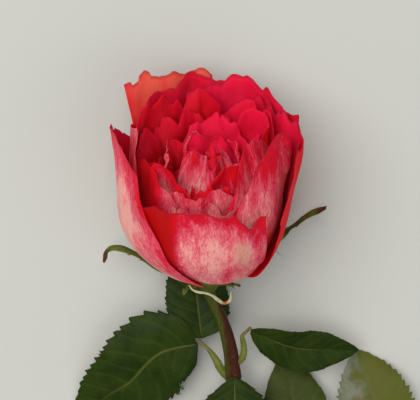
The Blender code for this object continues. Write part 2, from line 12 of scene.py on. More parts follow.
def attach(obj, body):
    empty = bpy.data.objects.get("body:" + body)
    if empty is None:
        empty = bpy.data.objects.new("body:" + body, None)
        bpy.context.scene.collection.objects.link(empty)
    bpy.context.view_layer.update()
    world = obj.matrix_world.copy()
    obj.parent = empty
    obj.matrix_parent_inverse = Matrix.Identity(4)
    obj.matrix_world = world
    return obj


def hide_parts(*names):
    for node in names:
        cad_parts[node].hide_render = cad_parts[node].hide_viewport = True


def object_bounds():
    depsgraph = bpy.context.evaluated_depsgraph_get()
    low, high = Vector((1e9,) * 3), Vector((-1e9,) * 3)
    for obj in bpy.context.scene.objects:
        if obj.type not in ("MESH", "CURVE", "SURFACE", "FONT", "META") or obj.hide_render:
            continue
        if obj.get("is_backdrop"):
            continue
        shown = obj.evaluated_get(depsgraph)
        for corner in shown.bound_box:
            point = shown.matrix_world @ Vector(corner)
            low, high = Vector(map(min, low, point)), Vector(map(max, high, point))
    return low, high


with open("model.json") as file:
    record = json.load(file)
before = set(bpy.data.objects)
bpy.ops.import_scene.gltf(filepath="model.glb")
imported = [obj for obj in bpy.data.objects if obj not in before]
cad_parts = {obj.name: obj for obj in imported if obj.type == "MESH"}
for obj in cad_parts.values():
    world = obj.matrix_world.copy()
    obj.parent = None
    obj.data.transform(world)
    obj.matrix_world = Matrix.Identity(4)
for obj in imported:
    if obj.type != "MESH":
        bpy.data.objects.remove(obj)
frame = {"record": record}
cad_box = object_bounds()
rec_materials = {m["slot"]: m for m in frame["record"].get("materials", [])}

# ---------------------------------------------------------------- driving dimensions, in millimetres and degrees
MM = 0.001
BLOOM_BELLY_R = 32.5  # radius of the outermost petals at their widest
BLOOM_TOP = 58.0  # height of the outer petals above the receptacle
CORE_R = 3.4  # radius of the innermost rolled petal
CORE_TOP = 46.5
PETALS = 36
PETAL_T = 0.36  # petal thickness
PETAL_GAP = 0.78  # distance kept between the middles of neighbouring petals
BLOOM_TILT = 22.0  # bloom axis above the surface
BASE_H = 22.8  # height of the bloom's base over the surface
BASE_Y = 0.0  # position of the base of the bloom along the stem, before the shift
STEM_R = 2.65
LEAF_T = 0.42
GOLDEN = 137.508
ORIGIN_SHIFT = (-25.52, 86.73, -0.29)  # brings the middle of the bottom of the bounding box over the origin
NU, NV = 17, 13  # control grid of a petal, across and along


# ---------------------------------------------------------------- curves and grids
def smooth(a, b, x):
    t = np.clip((x - a) / (b - a), 0.0, 1.0)
    return t * t * (3.0 - 2.0 * t)


def curve(points, n):
    """n points evenly spaced along a smooth curve through the given points."""
    p = np.asarray(points, float)
    ext = np.vstack([2 * p[0] - p[1], p, 2 * p[-1] - p[-2]])
    t = np.linspace(0, 1, 24, endpoint=False)[:, None]
    out = []
    for i in range(1, len(ext) - 2):
        a, b, c, d = ext[i - 1 : i + 3]
        out.append(0.5 * (2 * b + (c - a) * t + (2 * a - 5 * b + 4 * c - d) * t**2 + (3 * b - a - 3 * c + d) * t**3))
    out = np.vstack(out + [p[-1:]])
    run = np.r_[0, np.cumsum(np.sqrt((np.diff(out, axis=0) ** 2).sum(1)))]
    q = np.linspace(0, run[-1], n)
    return np.stack([np.interp(q, run, out[:, k]) for k in range(out.shape[1])], 1)


def unit(a):
    return a / np.maximum(np.sqrt((a * a).sum(-1, keepdims=True)), 1e-12)


def grid_normals(g):
    """Normals of grids (..., rows, columns, 3), on the side away from the flower's axis."""
    dv = np.gradient(g, axis=-3)
    du = np.gradient(g, axis=-2)
    return unit(np.cross(du, dv))


# ---------------------------------------------------------------- petals
# the outer petals, innermost first: bearing round the bloom (0 = the side that faces up), belly and rim radius, height,
# half width, how far the rim falls away towards the sides, roll of the rim at the middle, left and right (negative leans in),
# flare of the left and right sides, fullness of the lower half
OUTER = [
    dict(key="front_third", phi=-8, rb=21.0, rt=18.0, top=40.0, w=19, drop=0.14, roll=-6, roll_l=0, roll_r=4, full=0.35),
    dict(key="right_third", phi=64, rb=21.5, rt=19, top=52.5, w=20, drop=0.34, roll=-8, roll_l=-4, roll_r=6, full=0.35),
    dict(key="back_inner", pleat=1.0, pleats=5.2, notch=0.09, notch_s=0.0, phi=-150, rb=22.5, rt=22.5, top=58, w=18, drop=0.12, roll=2, roll_l=6, roll_r=12, full=0.35),
    dict(key="back_inner_right", pleat=0.9, pleats=4.6, notch=0.08, notch_s=-0.5, phi=134, rb=23.0, rt=23.5, top=53.5, w=19, drop=0.14, roll=8, roll_l=14, roll_r=6, full=0.35),
    dict(key="left_second", phi=-66, rb=24.5, rt=21.5, top=42.5, w=24, drop=0.24, roll=-10, roll_l=10, roll_r=-6, full=0.4),
    dict(key="front_second", phi=-4, rb=25.5, rt=23.0, top=35.5, w=21, drop=0.08, roll=-8, roll_l=0, roll_r=0, full=0.4),
    dict(key="right_second", phi=70, rb=26.0, rt=24.5, top=53.0, w=26, drop=0.36, roll=-8, roll_l=4, roll_r=4, full=0.5, wave=1.0, twist=0.0),
    dict(key="back_right", pleat=0.7, pleats=5.6, notch=0.06, notch_s=0.0, phi=122, rb=27.0, rt=28.0, top=54.0, w=20, drop=0.12, roll=8, roll_l=10, roll_r=8, full=0.35),
    dict(key="left_tucked", phi=-104, rb=26.5, rt=25.5, top=52, w=15, drop=0.20, roll=-8, roll_l=-8, roll_r=-8, full=0.35),
    dict(key="back_far_right", pleat=0.8, pleats=5.0, phi=160, rb=27.5, rt=28, top=58.5, w=20, drop=0.10, roll=2, roll_l=6, roll_r=6, full=0.35),
    dict(key="back", pleat=0.8, pleats=4.4, notch=0.05, notch_s=0.5, phi=-170, rb=28.0, rt=28, top=59.0, w=20, drop=0.10, roll=4, roll_l=8, roll_r=4, full=0.35),
    dict(key="back_left", phi=-153, rb=28.4, rt=29.8, top=61.0, w=15, drop=0.02, roll=6, roll_l=6, roll_r=28, side_r=0.6, full=0.35),
    dict(key="left_behind", phi=-108, rb=27.6, rt=28.2, top=50.0, w=11, drop=0.14, roll=16, roll_l=22, roll_r=0, full=0.35),
    dict(key="front", phi=-5, rb=29.6, rt=29.2, top=40.5, w=24.8, drop=0.10, roll=14, roll_l=4, roll_r=0, full=0.8, notch=0.13, notch_s=0.72),
    dict(key="right", phi=107, rb=28.4, rt=29.6, top=52.5, w=25, drop=0.17, roll=6, roll_l=2, roll_r=1, side_l=0.6, low_l=1.4, full=0.5),
    dict(key="left", phi=-76, rb=31.4, rt=28.0, top=50.5, w=31.5, drop=0.20, roll=4, roll_l=16, roll_r=0, full=0.66, twist=-20, notch=0.0),
]


def crown(f, th):
    """Height of the rims over the receptacle: low and hollow towards the front, high at the back."""
    k = (0, 0.2, 0.4, 0.6, 0.8, 1)
    mean, amp = np.interp(f, k, (46.5, 45.5, 46.8, 48.6, 49.6, 50)), np.interp(f, k, (-1.0, -2.2, 3.4, 7.8, 9.5, 11.5))
    return mean - amp * np.cos(th)


def petal_table():
    """One dict of dimensions for each petal, innermost first."""
    rng, cuts = np.random.RandomState(11), np.random.RandomState(29)
    table = []
    inner = PETALS - len(OUTER)
    for j in range(PETALS):
        f = min(j / (inner - 1), 1.0) * 0.56
        phi = (j * GOLDEN + 40) % 360
        rb = CORE_R + (BLOOM_BELLY_R - CORE_R) * f**0.88
        top = float(crown(f, math.radians(phi))) + rng.uniform(-1.6, 1.6)
        back = 0.5 - 0.5 * math.cos(math.radians(phi))
        bud = 1.0 - float(smooth(0.20, 0.38, f))  # 1 for the petals that close over the middle
        top -= 5.0 * bud * max(1 - j / 8, 0)
        p = dict(
            name=f"petal_{j + 1:02d}",
            phi=phi,
            rb=rb,
            top=top,
            rt=rb * (0.50 + 0.42 * smooth(0, 0.5, f)) * (1 - 0.65 * bud * (1 - back)) + rng.uniform(-0.8, 0.8) * f,
            w=(9.5 + 15.0 * f + rng.uniform(-1, 1)) * (1 + 0.3 * bud),
            drop=rng.uniform(0.12, 0.26),
            t0=0.74,
            roll=(rng.uniform(-16, 8) + 20 * back) * smooth(0.05, 0.3, f),
            roll_l=(rng.uniform(-14, 20) + 16 * back) * smooth(0.05, 0.3, f),
            roll_r=(rng.uniform(-14, 20) + 16 * back) * smooth(0.05, 0.3, f),
            side_l=rng.uniform(-1.0, 2.0) * f,
            side_r=rng.uniform(-1.0, 2.0) * f,
            low_l=0.0,
            notch=cuts.uniform(0.0, 0.13) * float(smooth(0.1, 0.3, f)),
            notch_s=cuts.choice((-0.5, 0.0, 0.5)),
            full=0.35,
            tilt=0.55,
            pleat=rng.uniform(0.9, 2.2) * (0.45 + f),
            pleats=rng.uniform(3.0, 6.0),
            q=0.0,
            twist=rng.uniform(-6, 6),
            cusp=rng.uniform(0.0, 0.03),
            seed=int(rng.randint(1, 10000)),
            wave=0.7 + 0.8 * f + 0.7 * bud,
        )
        if j >= inner:
            f = 0.64 + 0.36 * (j - inner) / (len(OUTER) - 1)
            p.update(tilt=0.0, pleat=0.25, wave=0.9, side_l=0.0, side_r=0.0, full=0.55, notch=0.0)
            p.update(OUTER[j - inner])
        p.update(f=f)
        table.append(p)
    return table


def family():
    """Nested cup profiles: r and z by belly radius (rows) and by run along the profile from 0 to 1 (columns)."""
    top, rows = 62.0, []
    for rho in RHO:
        f = (rho - CORE_R) / (BLOOM_BELLY_R - CORE_R)
        f = f ** (1 / 0.88) if f > 0 else f
        r0, z0 = max(0.8 + 5.4 * f, 0.3), 4.2 - 4.2 * max(f, 0)
        h = top - z0
        lean = 0.60 + 0.40 * smooth(3.0, 23.0, rho)
        rows.append(
            curve([(r0, z0), (r0 + (rho - r0) * 0.48, z0 + h * 0.080), (r0 + (rho - r0) * 0.88, z0 + h * 0.26), (r0 + (rho - r0) * 1.0, z0 + h * 0.54), (rho * lean, top)], len(RUN))
        )
    return np.array(rows)


RHO, RUN = np.linspace(0.4, 44.4, 89), np.linspace(0, 1, 121)
FAMILY = family()
ALONG = unit(np.gradient(FAMILY, axis=1))
ACROSS = np.gradient(FAMILY, RHO, axis=0)
SPREAD = np.abs(ACROSS[..., 0] * ALONG[..., 1] - ACROSS[..., 1] * ALONG[..., 0])  # mm of clearance for each mm of belly radius


def look(table, rho, t):
    """Bilinear reading of a table over belly radius and run."""
    i = np.clip((rho - RHO[0]) / (RHO[1] - RHO[0]), 0, len(RHO) - 1.001)
    j = np.clip(t * (len(RUN) - 1), 0, len(RUN) - 1.001)
    i0, j0 = i.astype(int), j.astype(int)
    a, b = i - i0, j - j0
    if table.ndim == 3:
        a, b = a[..., None], b[..., None]
    return (table[i0, j0] * (1 - a) + table[i0 + 1, j0] * a) * (1 - b) + (table[i0, j0 + 1] * (1 - a) + table[i0 + 1, j0 + 1] * a) * b


def petal_nest(p, s, v):
    """Bearing (radians), run and belly radius over a petal before packing; s runs across from -1 to 1, v up from 0 to 1."""
    s, v = np.asarray(s, float), np.asarray(v, float)
    S, V = s[None, :], v[:, None]
    heights = look(FAMILY, np.full(len(RUN), p["rb"]), RUN)[:, 1]
    phi = math.radians(p["phi"])
    reach = p["w"] / p["rb"]
    rim = p["top"] + p["tilt"] * (crown(p["f"], phi + reach * S) - float(crown(p["f"], phi)))
    end = np.interp(rim, heights, RUN) * (1.0 - p["drop"] * np.abs(S) ** 2.6 + p["cusp"] * np.exp(-((S / 0.16) ** 2)) - p["notch"] * np.exp(-(((S - p["notch_s"]) / 0.15) ** 2)))
    rng = np.random.RandomState(p["seed"])
    ruf, ph = rng.uniform(4, 8), rng.uniform(0, 6.28)
    end = np.minimum(end + p["wave"] * 0.010 * np.sin(ruf * 1.3 * S + ph * 2), 1.0)
    t = V * end
    rc = look(FAMILY, np.full_like(t, p["rb"]), t)[..., 0]
    low = p["full"]
    width = p["w"] * np.interp(v, [0, 0.12, 0.25, 0.5, 0.72, 1.0], [0.10, 0.26 + 0.26 * low, 0.40 + 0.52 * low, 0.90 + 0.09 * low, 1.0, 0.94])[:, None]
    beta = np.clip(width * S / np.maximum(rc, 2.2), -2.6, 2.6)
    th = phi + beta + math.radians(p["twist"]) * V
    roll = p["roll"] * (1 - S**2) + np.where(S < 0, p["roll_l"], p["roll_r"]) * S**2
    lip = smooth(0, 1, np.clip((V - 0.66) / 0.34, 0, 1) * 0.5) * 2
    rho = p["rb"] + 11.0 * np.radians(roll) * lip + (p["rt"] - p["rb"]) * smooth(0.5, 1.0, V)
    edge = np.maximum(np.abs(S) - 0.55, 0) / 0.45
    rho = rho + np.where(S < 0, p["side_l"], p["side_r"]) * edge**2 * V
    rho = rho + np.where(S < 0, p["low_l"], 0.0) * edge**1.4 * smooth(0.02, 0.25, V) * (1 - smooth(0.45, 0.85, V))
    for _ in range(3):
        a1, a2 = rng.uniform(2.4, 7.2, 2)
        rho = rho + 0.35 * p["wave"] * rng.uniform(-1, 1) * np.sin(a1 * S + rng.uniform(0, 6.28)) * np.sin(a2 * V + rng.uniform(0, 6.28)) * smooth(0.15, 0.6, V)
    rho = rho + p["pleat"] * np.cos(p["pleats"] * S + ph) * smooth(0.3, 0.95, V)
    rho = rho + p["wave"] * 0.4 * np.sin(ruf * S + ph) * smooth(0.6, 1, V)
    return th, t, np.maximum(rho, 1.0)


def finer(g, rows, cols):
    """A grid read at more rows and columns, linearly."""
    a, b = np.linspace(0, g.shape[0] - 1, rows), np.linspace(0, g.shape[1] - 1, cols)
    i, j = np.minimum(a.astype(int), g.shape[0] - 2), np.minimum(b.astype(int), g.shape[1] - 2)
    a, b = (a - i)[:, None], (b - j)[None, :]
    q = lambda di, dj: g[np.ix_(i + di, j + dj)]
    return (q(0, 0) * (1 - b) + q(0, 1) * b) * (1 - a) + (q(1, 0) * (1 - b) + q(1, 1) * b) * a


def widest(e, across, along):
    """Largest value in a window round each cell; the first axis wraps round the bloom."""
    out = e
    for k in range(-across, across + 1):
        out = np.maximum(out, np.roll(e, k, 0))
    e, rows = out, out.shape[1]
    for k in range(1, along + 1):
        out[:, k:] = np.maximum(out[:, k:], e[:, : rows - k])
        out[:, : rows - k] = np.maximum(out[:, : rows - k], e[:, k:])
    return out


def pack_petals(table, s, v, gap, extra):
    """Control grids of all petals, each one lying outside those before it, as petals of a bud do."""
    bins, runs = 240, 140
    taken = np.full((bins, runs), 0.0)
    grids = []
    for k, p in enumerate(table):
        th, t, rho = petal_nest(p, s, v)
        room = widest(taken.copy(), 2, 3)
        ii = np.floor(th / (2 * np.pi) * bins).astype(int) % bins
        jj = np.minimum((t * runs).astype(int), runs - 1)
        near = room[ii, jj]
        spread = np.clip(look(SPREAD, np.maximum(rho, near), t), 0.16, 1.0)
        clear = gap * (0.50 + 0.50 * smooth(0.0, 0.22, t))
        need = np.where(near > 0, near + clear / spread, 0.0)
        lift = np.maximum(need - rho, 0.0) + extra[k] / spread
        soft = lift
        for _ in range(2):
            e = np.pad(soft, 1, mode="edge")
            soft = np.maximum(lift, (e[:-2, 1:-1] + e[2:, 1:-1] + e[1:-1, :-2] + e[1:-1, 2:] + 2 * soft) / 6)
        rho = rho + soft
        p["nest"] = rho
        T, R, H = finer(th, 121, 145), finer(rho, 121, 145), finer(t, 121, 145)
        ii = np.floor(T / (2 * np.pi) * bins).astype(int) % bins
        jj = np.minimum((H * runs).astype(int), runs - 1)
        np.maximum.at(taken, (ii.ravel(), jj.ravel()), R.ravel())
        rz = look(FAMILY, rho, t)
        grids.append(np.stack([rz[..., 0] * np.sin(th), -rz[..., 0] * np.cos(th), rz[..., 1]], -1))
    return np.array(grids)


def coarse(g):
    """Every second row and column of a control grid: the grid of the solid."""
    return g[::2, ::2]


def settle_petals(table, gap, spare, rounds):
    """Packs the petals, then eases any that still touch a petal inside them further out, until none does."""
    s, v = np.linspace(-1, 1, NU), np.linspace(0, 1, NV)
    extra = np.zeros((len(table), NV, NU))
    cells = coarse(np.zeros((NV, NU))).size
    for _ in range(rounds):
        grids = pack_petals(table, s, v, gap, extra)
        trees = []
        for g in grids:
            verts, faces = shell(coarse(g), PETAL_T + spare)
            trees.append(BVHTree.FromPolygons([tuple(p) for p in verts], faces))
            spots = faces
        touching = False
        for j in range(len(table)):
            for i in range(j):
                hits = trees[j].overlap(trees[i])
                if not hits:
                    continue
                touching = True
                for who, side, step in ((j, 0, 0.20), (i, 1, -0.08)):
                    bump = np.zeros((NV, NU))
                    for face in {h[side] for h in hits}:
                        for k in spots[face]:
                            r, c = divmod(k % cells, (NU + 1) // 2)
                            bump[max(2 * r - 1, 0) : 2 * r + 2, max(2 * c - 1, 0) : 2 * c + 2] = step
                    extra[who] = np.clip(extra[who] + bump, -0.4, 1.6)
        if not touching:
            break
    return grids


def bloom_to_world(g):
    a = math.radians(BLOOM_TILT)
    x, y, z = g[..., 0], g[..., 1], g[..., 2]
    w = np.stack([x, BASE_Y + z * math.cos(a) + y * math.sin(a), BASE_H + z * math.sin(a) - y * math.cos(a)], -1)
    return w + np.array(ORIGIN_SHIFT)


# ---------------------------------------------------------------- blades: sepals and leaflets
LEAF_SHAPE = ([0, 0.05, 0.16, 0.32, 0.48, 0.68, 0.84, 0.95, 1.0], [0.04, 0.30, 0.70, 0.96, 1.0, 0.86, 0.56, 0.24, 0.03])
BROAD_SHAPE = ([0, 0.03, 0.10, 0.22, 0.40, 0.60, 0.80, 0.93, 1.0], [0.05, 0.45, 0.76, 0.97, 1.0, 0.90, 0.60, 0.26, 0.03])
SEPAL_SHAPE = ([0, 0.08, 0.3, 0.55, 0.8, 0.92, 1.0], [0.75, 1.0, 0.80, 0.45, 0.34, 0.30, 0.06])


def blade(b, s, v):
    """Middle surface of a leaf-like blade along the path b["path"]; s runs across, v along."""
    n = 200
    c = curve(b["path"], n)
    t = unit(np.gradient(c, axis=0))
    up = np.asarray(b.get("up", (0, 0, 1)), float)
    side = unit(np.cross(t, up))
    top = np.cross(side, t)
    k = np.linspace(0, 1, n)
    roll = np.radians(np.interp(k, [0, 1], b.get("roll", (0, 0))))[:, None]
    side, top = side * np.cos(roll) + top * np.sin(roll), top * np.cos(roll) - side * np.sin(roll)
    at = lambda a: np.stack([np.interp(v, k, a[:, i]) for i in range(3)], 1)[:, None, :]
    C, SD, TP = at(c), at(side), at(top)
    half = 0.5 * b["width"] * np.interp(v, *b.get("shape", LEAF_SHAPE))[:, None]
    S = np.asarray(s, float)[None, :]
    f = math.radians(b.get("fold", 12))
    x = half * S * math.cos(f)
    z = half * np.abs(S) * math.sin(f) - b.get("curl", 0.012) * (half * S) ** 2
    z = z + b.get("wave", 0.5) * np.sin(v[:, None] * b.get("freq", 11) + S * 1.7 + b.get("phase", 0)) * S**2
    return C + SD * x[..., None] + TP * z[..., None]


def rest_on_surface(g, low=0.1):
    """Bends a blade up where it would sink into the surface, as a leaf that lies on a table does."""
    z = g[..., 2]
    soft = 0.5
    lifted = low + soft * np.logaddexp(0, (z - low) / soft)
    g = g.copy()
    g[..., 2] = np.where(z < low + 4 * soft, lifted, z)
    return g


# paths are relative to the bloom's base, in millimetres, with heights over the surface
STEM_PATH = [
    (0.0, -8.95, BASE_H - 3.62), (0.45, -10.6, BASE_H - 4.30), (1.8, -13.8, BASE_H - 5.6), (4.0, -18.4, BASE_H - 7.1), (6.5, -25.4, 15.2), (8.1, -33.0, 13.3), (8.6, -37.8, 12.2),
    (9.2, -44.0, 10.9), (12.5, -70, 7.2), (17, -105, 4.4), (22, -150, 3.35), (27, -200, 3.0), (31.0, -240, 2.95),
]
NODES_Y = (-41.5, -95.0, -135.0)  # where the leaves leave the stem
LEAVES = {
    "leaf_left_upper_stalk": dict(tube=[(4.4, -39.3, 12.4), (3.0, -36.6, 12.2), (0.4, -33.1, 11.1), (-2.3, -30.9, 9.8)], r=(1.3, 1.2, 0.8, 0.7), flat=1.4),
    "leaf_left_upper_leaflet_side": dict(path=[(-2.3, -28.9, 9.4), (-4.0, -15, 7.0), (-6.4, 6, 0.3)], width=24, shape=BROAD_SHAPE, fold=9, roll=(-4, 0)),
    "leaf_left_upper_leaflet_end": dict(path=[(-3.9, -31.1, 9.5), (-15.7, -33.7, 9.6), (-22, -38.4, 8.8), (-28.5, -45.9, 7.0), (-36.5, -51.5, 4.6), (-50, -61.5, 0.3)], width=35, fold=7, roll=(6, 0), wave=0.9, shape=BROAD_SHAPE),
    "leaf_right_upper_stalk": dict(tube=[(12.6, -34.6, 13.7), (12.8, -30.6, 14.0), (12.3, -27.0, 14.6), (14.2, -24.9, 15.0)], r=(1.1, 1.0, 0.8, 0.7), flat=1.2),
    "leaf_right_upper_leaflet": dict(path=[(15.4, -25.0, 15.2), (23.5, -28.6, 15.2), (32.2, -31.6, 13.8), (45, -33.0, 10.6), (54.5, -33.7, 8.0)], width=20, fold=16, roll=(-32, -18), wave=0.7),
    "leaf_front_leaflet": dict(path=[(9.4, -42.2, 14.9), (9.6, -52, 15.6), (8.8, -68, 14.0), (7.5, -84, 10.0)], width=30, fold=6, curl=0.02, wave=0.6),
    "leaf_right_lower_stalk": dict(tube=[(20.2, -94.6, 5.6), (34, -88, 6.0), (52, -80, 5.6), (70, -74.4, 4.8)], r=(1.5, 0.9, 0.8, 0.7), flat=1.3),
    "leaf_right_lower_leaflet_a": dict(path=[(34.3, -86.4, 6.6), (32.8, -62, 8.0), (28, -37, 0.3)], width=27, fold=6, roll=(0, 6)),
    "leaf_right_lower_leaflet_b": dict(path=[(66.6, -73.8, 5.8), (61.5, -55, 6.4), (54.5, -35.5, 0.3)], width=30, fold=10, roll=(4, -6), wave=0.8),
    "leaf_right_lower_leaflet_end": dict(path=[(71.3, -74.1, 4.8), (88, -76.5, 5.4), (108, -74, 0.3)], width=26, fold=8),
    "leaf_right_lower_leaflet_c": dict(path=[(50.6, -82.6, 5.8), (60, -98, 5.4), (69, -116, 0.3)], width=23, fold=8),
    "leaf_left_lower_stalk": dict(tube=[(17.0, -135.4, 4.4), (2, -134, 5.2), (-14, -128.2, 5.3)], r=(1.5, 0.9, 0.7), flat=1.3),
    "leaf_left_lower_leaflet_end": dict(path=[(-15.4, -127.7, 5.3), (-34, -121, 6.4), (-57, -118, 0.3)], width=28, fold=8),
    "leaf_left_lower_leaflet_a": dict(path=[(1.4, -131.6, 6.2), (-3.0, -114, 7.0), (-6, -95, 0.3)], width=22, fold=8),
    "leaf_left_lower_leaflet_b": dict(path=[(-0.4, -136.0, 6.2), (-6, -151, 5.4), (-12, -168, 0.3)], width=22, fold=8),
}
# sepals: paths in the bloom's frame
SEPALS = {
    "sepal_left": dict(path=[(-6.2, 0.6, -2.9), (-13, 3.6, -3.6), (-22, 8.6, -2.0), (-31, 10.4, 1.2), (-35.8, 9.8, 0.8), (-37.4, 9.0, -4.0)], width=7.0),
    "sepal_right": dict(path=[(5.6, 3.4, -3.1), (14, 10, -5.0), (26, 19.0, 1.2), (31.5, 19.2, 6.2), (36, 18.6, 10.6), (40.5, 17.6, 13.1)], width=5.6),
    "sepal_front_right": dict(path=[(4.9, -3.9, -3.3), (7.4, -5.0, -3.9), (9.6, -5.4, -4.1), (11.4, -5.0, -4.9)], width=4.6),
    "sepal_front_left": dict(path=[(-4.4, -4.6, -3.4), (-6.6, -6.6, -4.2), (-8.2, -7.6, -5.4), (-8.8, -8.2, -7.0)], width=5.0),
    "sepal_under": dict(path=[(-0.6, 6.4, -2.9), (-1.6, 12.4, -4.0), (-2.6, 18.5, -3.6), (-3.4, 24.0, -1.4)], width=6.5),
}
FILAMENT = [(-6.5, -5.4, 30.4), (-4.6, -7.4, 30.2), (0.7, -9.0, 28.4), (5.2, -13.0, 23.6), (7.6, -12.2, 23.4), (8.0, -8.4, 26.6)]


def shell(mid, t):
    """Vertices and faces of a thin closed solid around a grid of points."""
    nv, nu = mid.shape[:2]
    n = grid_normals(mid)
    a, b = (mid + n * t / 2).reshape(-1, 3), (mid - n * t / 2).reshape(-1, 3)
    idx = np.arange(nv * nu).reshape(nv, nu)
    off = nv * nu
    faces = []
    for i in range(nv - 1):
        for j in range(nu - 1):
            a0, b0, c0, d0 = (int(idx[k]) for k in ((i, j), (i, j + 1), (i + 1, j + 1), (i + 1, j)))
            for tri in ((a0, b0, c0), (a0, c0, d0)):
                faces.append(tri)
                faces.append(tuple(k + off for k in reversed(tri)))
    ring = [*idx[0, :-1], *idx[:-1, -1], *idx[-1, :0:-1], *idx[:0:-1, 0]]
    for p, q in zip(ring, ring[1:] + ring[:1]):
        p, q = int(p), int(q)
        faces += [(q, p, p + off), (q, p + off, q + off)]
    return np.vstack([a, b]), faces


def turned(profile, sides):
    """Vertices and faces of a solid of revolution about Z from (r, z) points whose first and last are on the axis."""
    w = np.linspace(0, 2 * np.pi, sides, endpoint=False)
    verts, faces = [(0, 0, profile[0][1])], []
    for r, z in profile[1:-1]:
        verts += [(r * math.sin(a), -r * math.cos(a), z) for a in w]
    verts.append((0, 0, profile[-1][1]))
    for j in range(sides):
        k = (j + 1) % sides
        faces.append((0, 1 + j, 1 + k))
        for i in range(len(profile) - 3):
            a = 1 + i * sides
            faces.append((a + j, a + sides + j, a + sides + k, a + k))
        a = 1 + (len(profile) - 3) * sides
        faces.append((a + j, len(verts) - 1, a + k))
    return np.array(verts, float), faces


RECEPTACLE = [(0, 2.5), (2.0, 1.1), (4.0, -0.5), (5.6, -1.9), (6.0, -2.6), (5.6, -4.4), (4.5, -6.4), (3.5, -8.0), (3.1, -9.0), (0, -9.15)]


def stem_radius(k, c):
    r = STEM_R - 0.75 * smooth(-36.0, -12.0, c[:, 1] - BASE_Y)
    for y in NODES_Y:
        r = r + 0.45 * np.exp(-(((c[:, 1] - y) / 2.6) ** 2))
    r = r + 0.25 * smooth(0.06, 0.0, k)
    return r


def place(g):
    """From the bloom's base frame with heights over the surface to the world."""
    return g + np.array([0, BASE_Y, 0]) + np.array(ORIGIN_SHIFT)


SPARE, SETTLE = 0.12, 30



# ================================================================ grids made fine
def cubic_weights(n, rows):
    """Rows of Catmull-Rom weights that read n evenly spaced values at `rows` places."""
    w = np.zeros((rows, n))
    for k, x in enumerate(np.linspace(0, n - 1, rows)):
        i = min(int(x), n - 2)
        t = x - i
        c = (-0.5 * t**3 + t**2 - 0.5 * t, 1.5 * t**3 - 2.5 * t**2 + 1, -1.5 * t**3 + 2 * t**2 + 0.5 * t, 0.5 * t**3 - 0.5 * t**2)
        for d, cc in zip((-1, 0, 1, 2), c):
            j = i + d
            if j < 0:  # straight on past the ends
                w[k, 0] += 2 * cc
                w[k, 1] -= cc
            elif j >= n:
                w[k, n - 1] += 2 * cc
                w[k, n - 2] -= cc
            else:
                w[k, j] += cc
    return w


def refine(g, rows, cols):
    return np.einsum("ai,bj,ijk->abk", cubic_weights(g.shape[0], rows), cubic_weights(g.shape[1], cols), g)


def fine_shell(mid, half, attrs):
    """A closed thin solid with smooth rims: verts, faces and per-vertex attributes. half is the half thickness on the grid."""
    nv, nu = mid.shape[:2]
    n = grid_normals(mid)
    a = (mid + n * half[..., None]).reshape(-1, 3)
    b = (mid - n * half[..., None]).reshape(-1, 3)
    idx = np.arange(nv * nu).reshape(nv, nu)
    q = np.stack([idx[:-1, :-1], idx[:-1, 1:], idx[1:, 1:], idx[1:, :-1]], -1).reshape(-1, 4)
    off = nv * nu
    back = q[:, ::-1] + off
    ring = np.array([*idx[0, :-1], *idx[:-1, -1], *idx[-1, :0:-1], *idx[:0:-1, 0]])
    nxt = np.roll(ring, -1)
    # a rounded rim: one extra row of points outside the middle of the edge
    centre = mid.reshape(-1, 3)
    out = np.zeros_like(mid)
    dv, du = np.gradient(mid, axis=0), np.gradient(mid, axis=1)
    out[0] -= unit(dv[0])
    out[-1] += unit(dv[-1])
    out[:, 0] -= unit(du[:, 0])
    out[:, -1] += unit(du[:, -1])
    out = unit(out).reshape(-1, 3)
    mids = centre[ring] + out[ring] * (half.reshape(-1)[ring] * 0.9)[:, None]
    base = 2 * off
    m = np.arange(len(ring)) + base
    mn = np.roll(m, -1)
    s1 = np.stack([nxt, ring, m, mn], -1)
    s2 = np.stack([mn, m, ring + off, nxt + off], -1)
    verts = np.vstack([a, b, mids])
    faces = np.vstack([q, back, s1, s2])
    att = {}
    for k, val in attrs.items():
        val = np.broadcast_to(val, (nv, nu)).reshape(-1)
        att[k] = np.concatenate([val, val, val[ring]])
    att["side"] = np.concatenate([np.ones(off), np.zeros(off), np.full(len(ring), 0.5)])
    return verts, faces, att


def make(name, verts, faces, att, mat, slot, *nodes, uv=("s", "v")):
    """Blender object from arrays in millimetres; rides on the root body and stands for the given nodes."""
    verts = np.asarray(verts, float)
    faces = [tuple(int(i) for i in f) for f in faces]
    vol = 0.0
    tri = np.array([(f[0], f[k], f[k + 1]) for f in faces for k in range(1, len(f) - 1)])
    p = verts[tri]
    vol = np.einsum("ij,ij->i", p[:, 0], np.cross(p[:, 1], p[:, 2])).sum()
    if vol < 0:
        faces = [f[::-1] for f in faces]
    me = bpy.data.meshes.new(name)
    me.from_pydata((verts * MM).tolist(), [], faces)
    me.update()
    me.shade_smooth()
    for k, val in att.items():
        a = me.attributes.new(k, "FLOAT", "POINT")
        a.data.foreach_set("value", np.asarray(val, np.float32))
    if uv and all(u in att for u in uv):
        layer = me.uv_layers.new(name="UVMap")
        li = np.zeros(len(me.loops), np.int32)
        me.loops.foreach_get("vertex_index", li)
        lay = np.stack([np.asarray(att[uv[0]])[li] * 0.5 + 0.5, np.asarray(att[uv[1]])[li]], 1)
        layer.data.foreach_set("uv", lay.astype(np.float32).ravel())
    me.materials.append(mat)
    o = bpy.data.objects.new(name, me)
    bpy.context.scene.collection.objects.link(o)
    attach(o, "root")
    if nodes:
        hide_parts(*nodes)
    return o


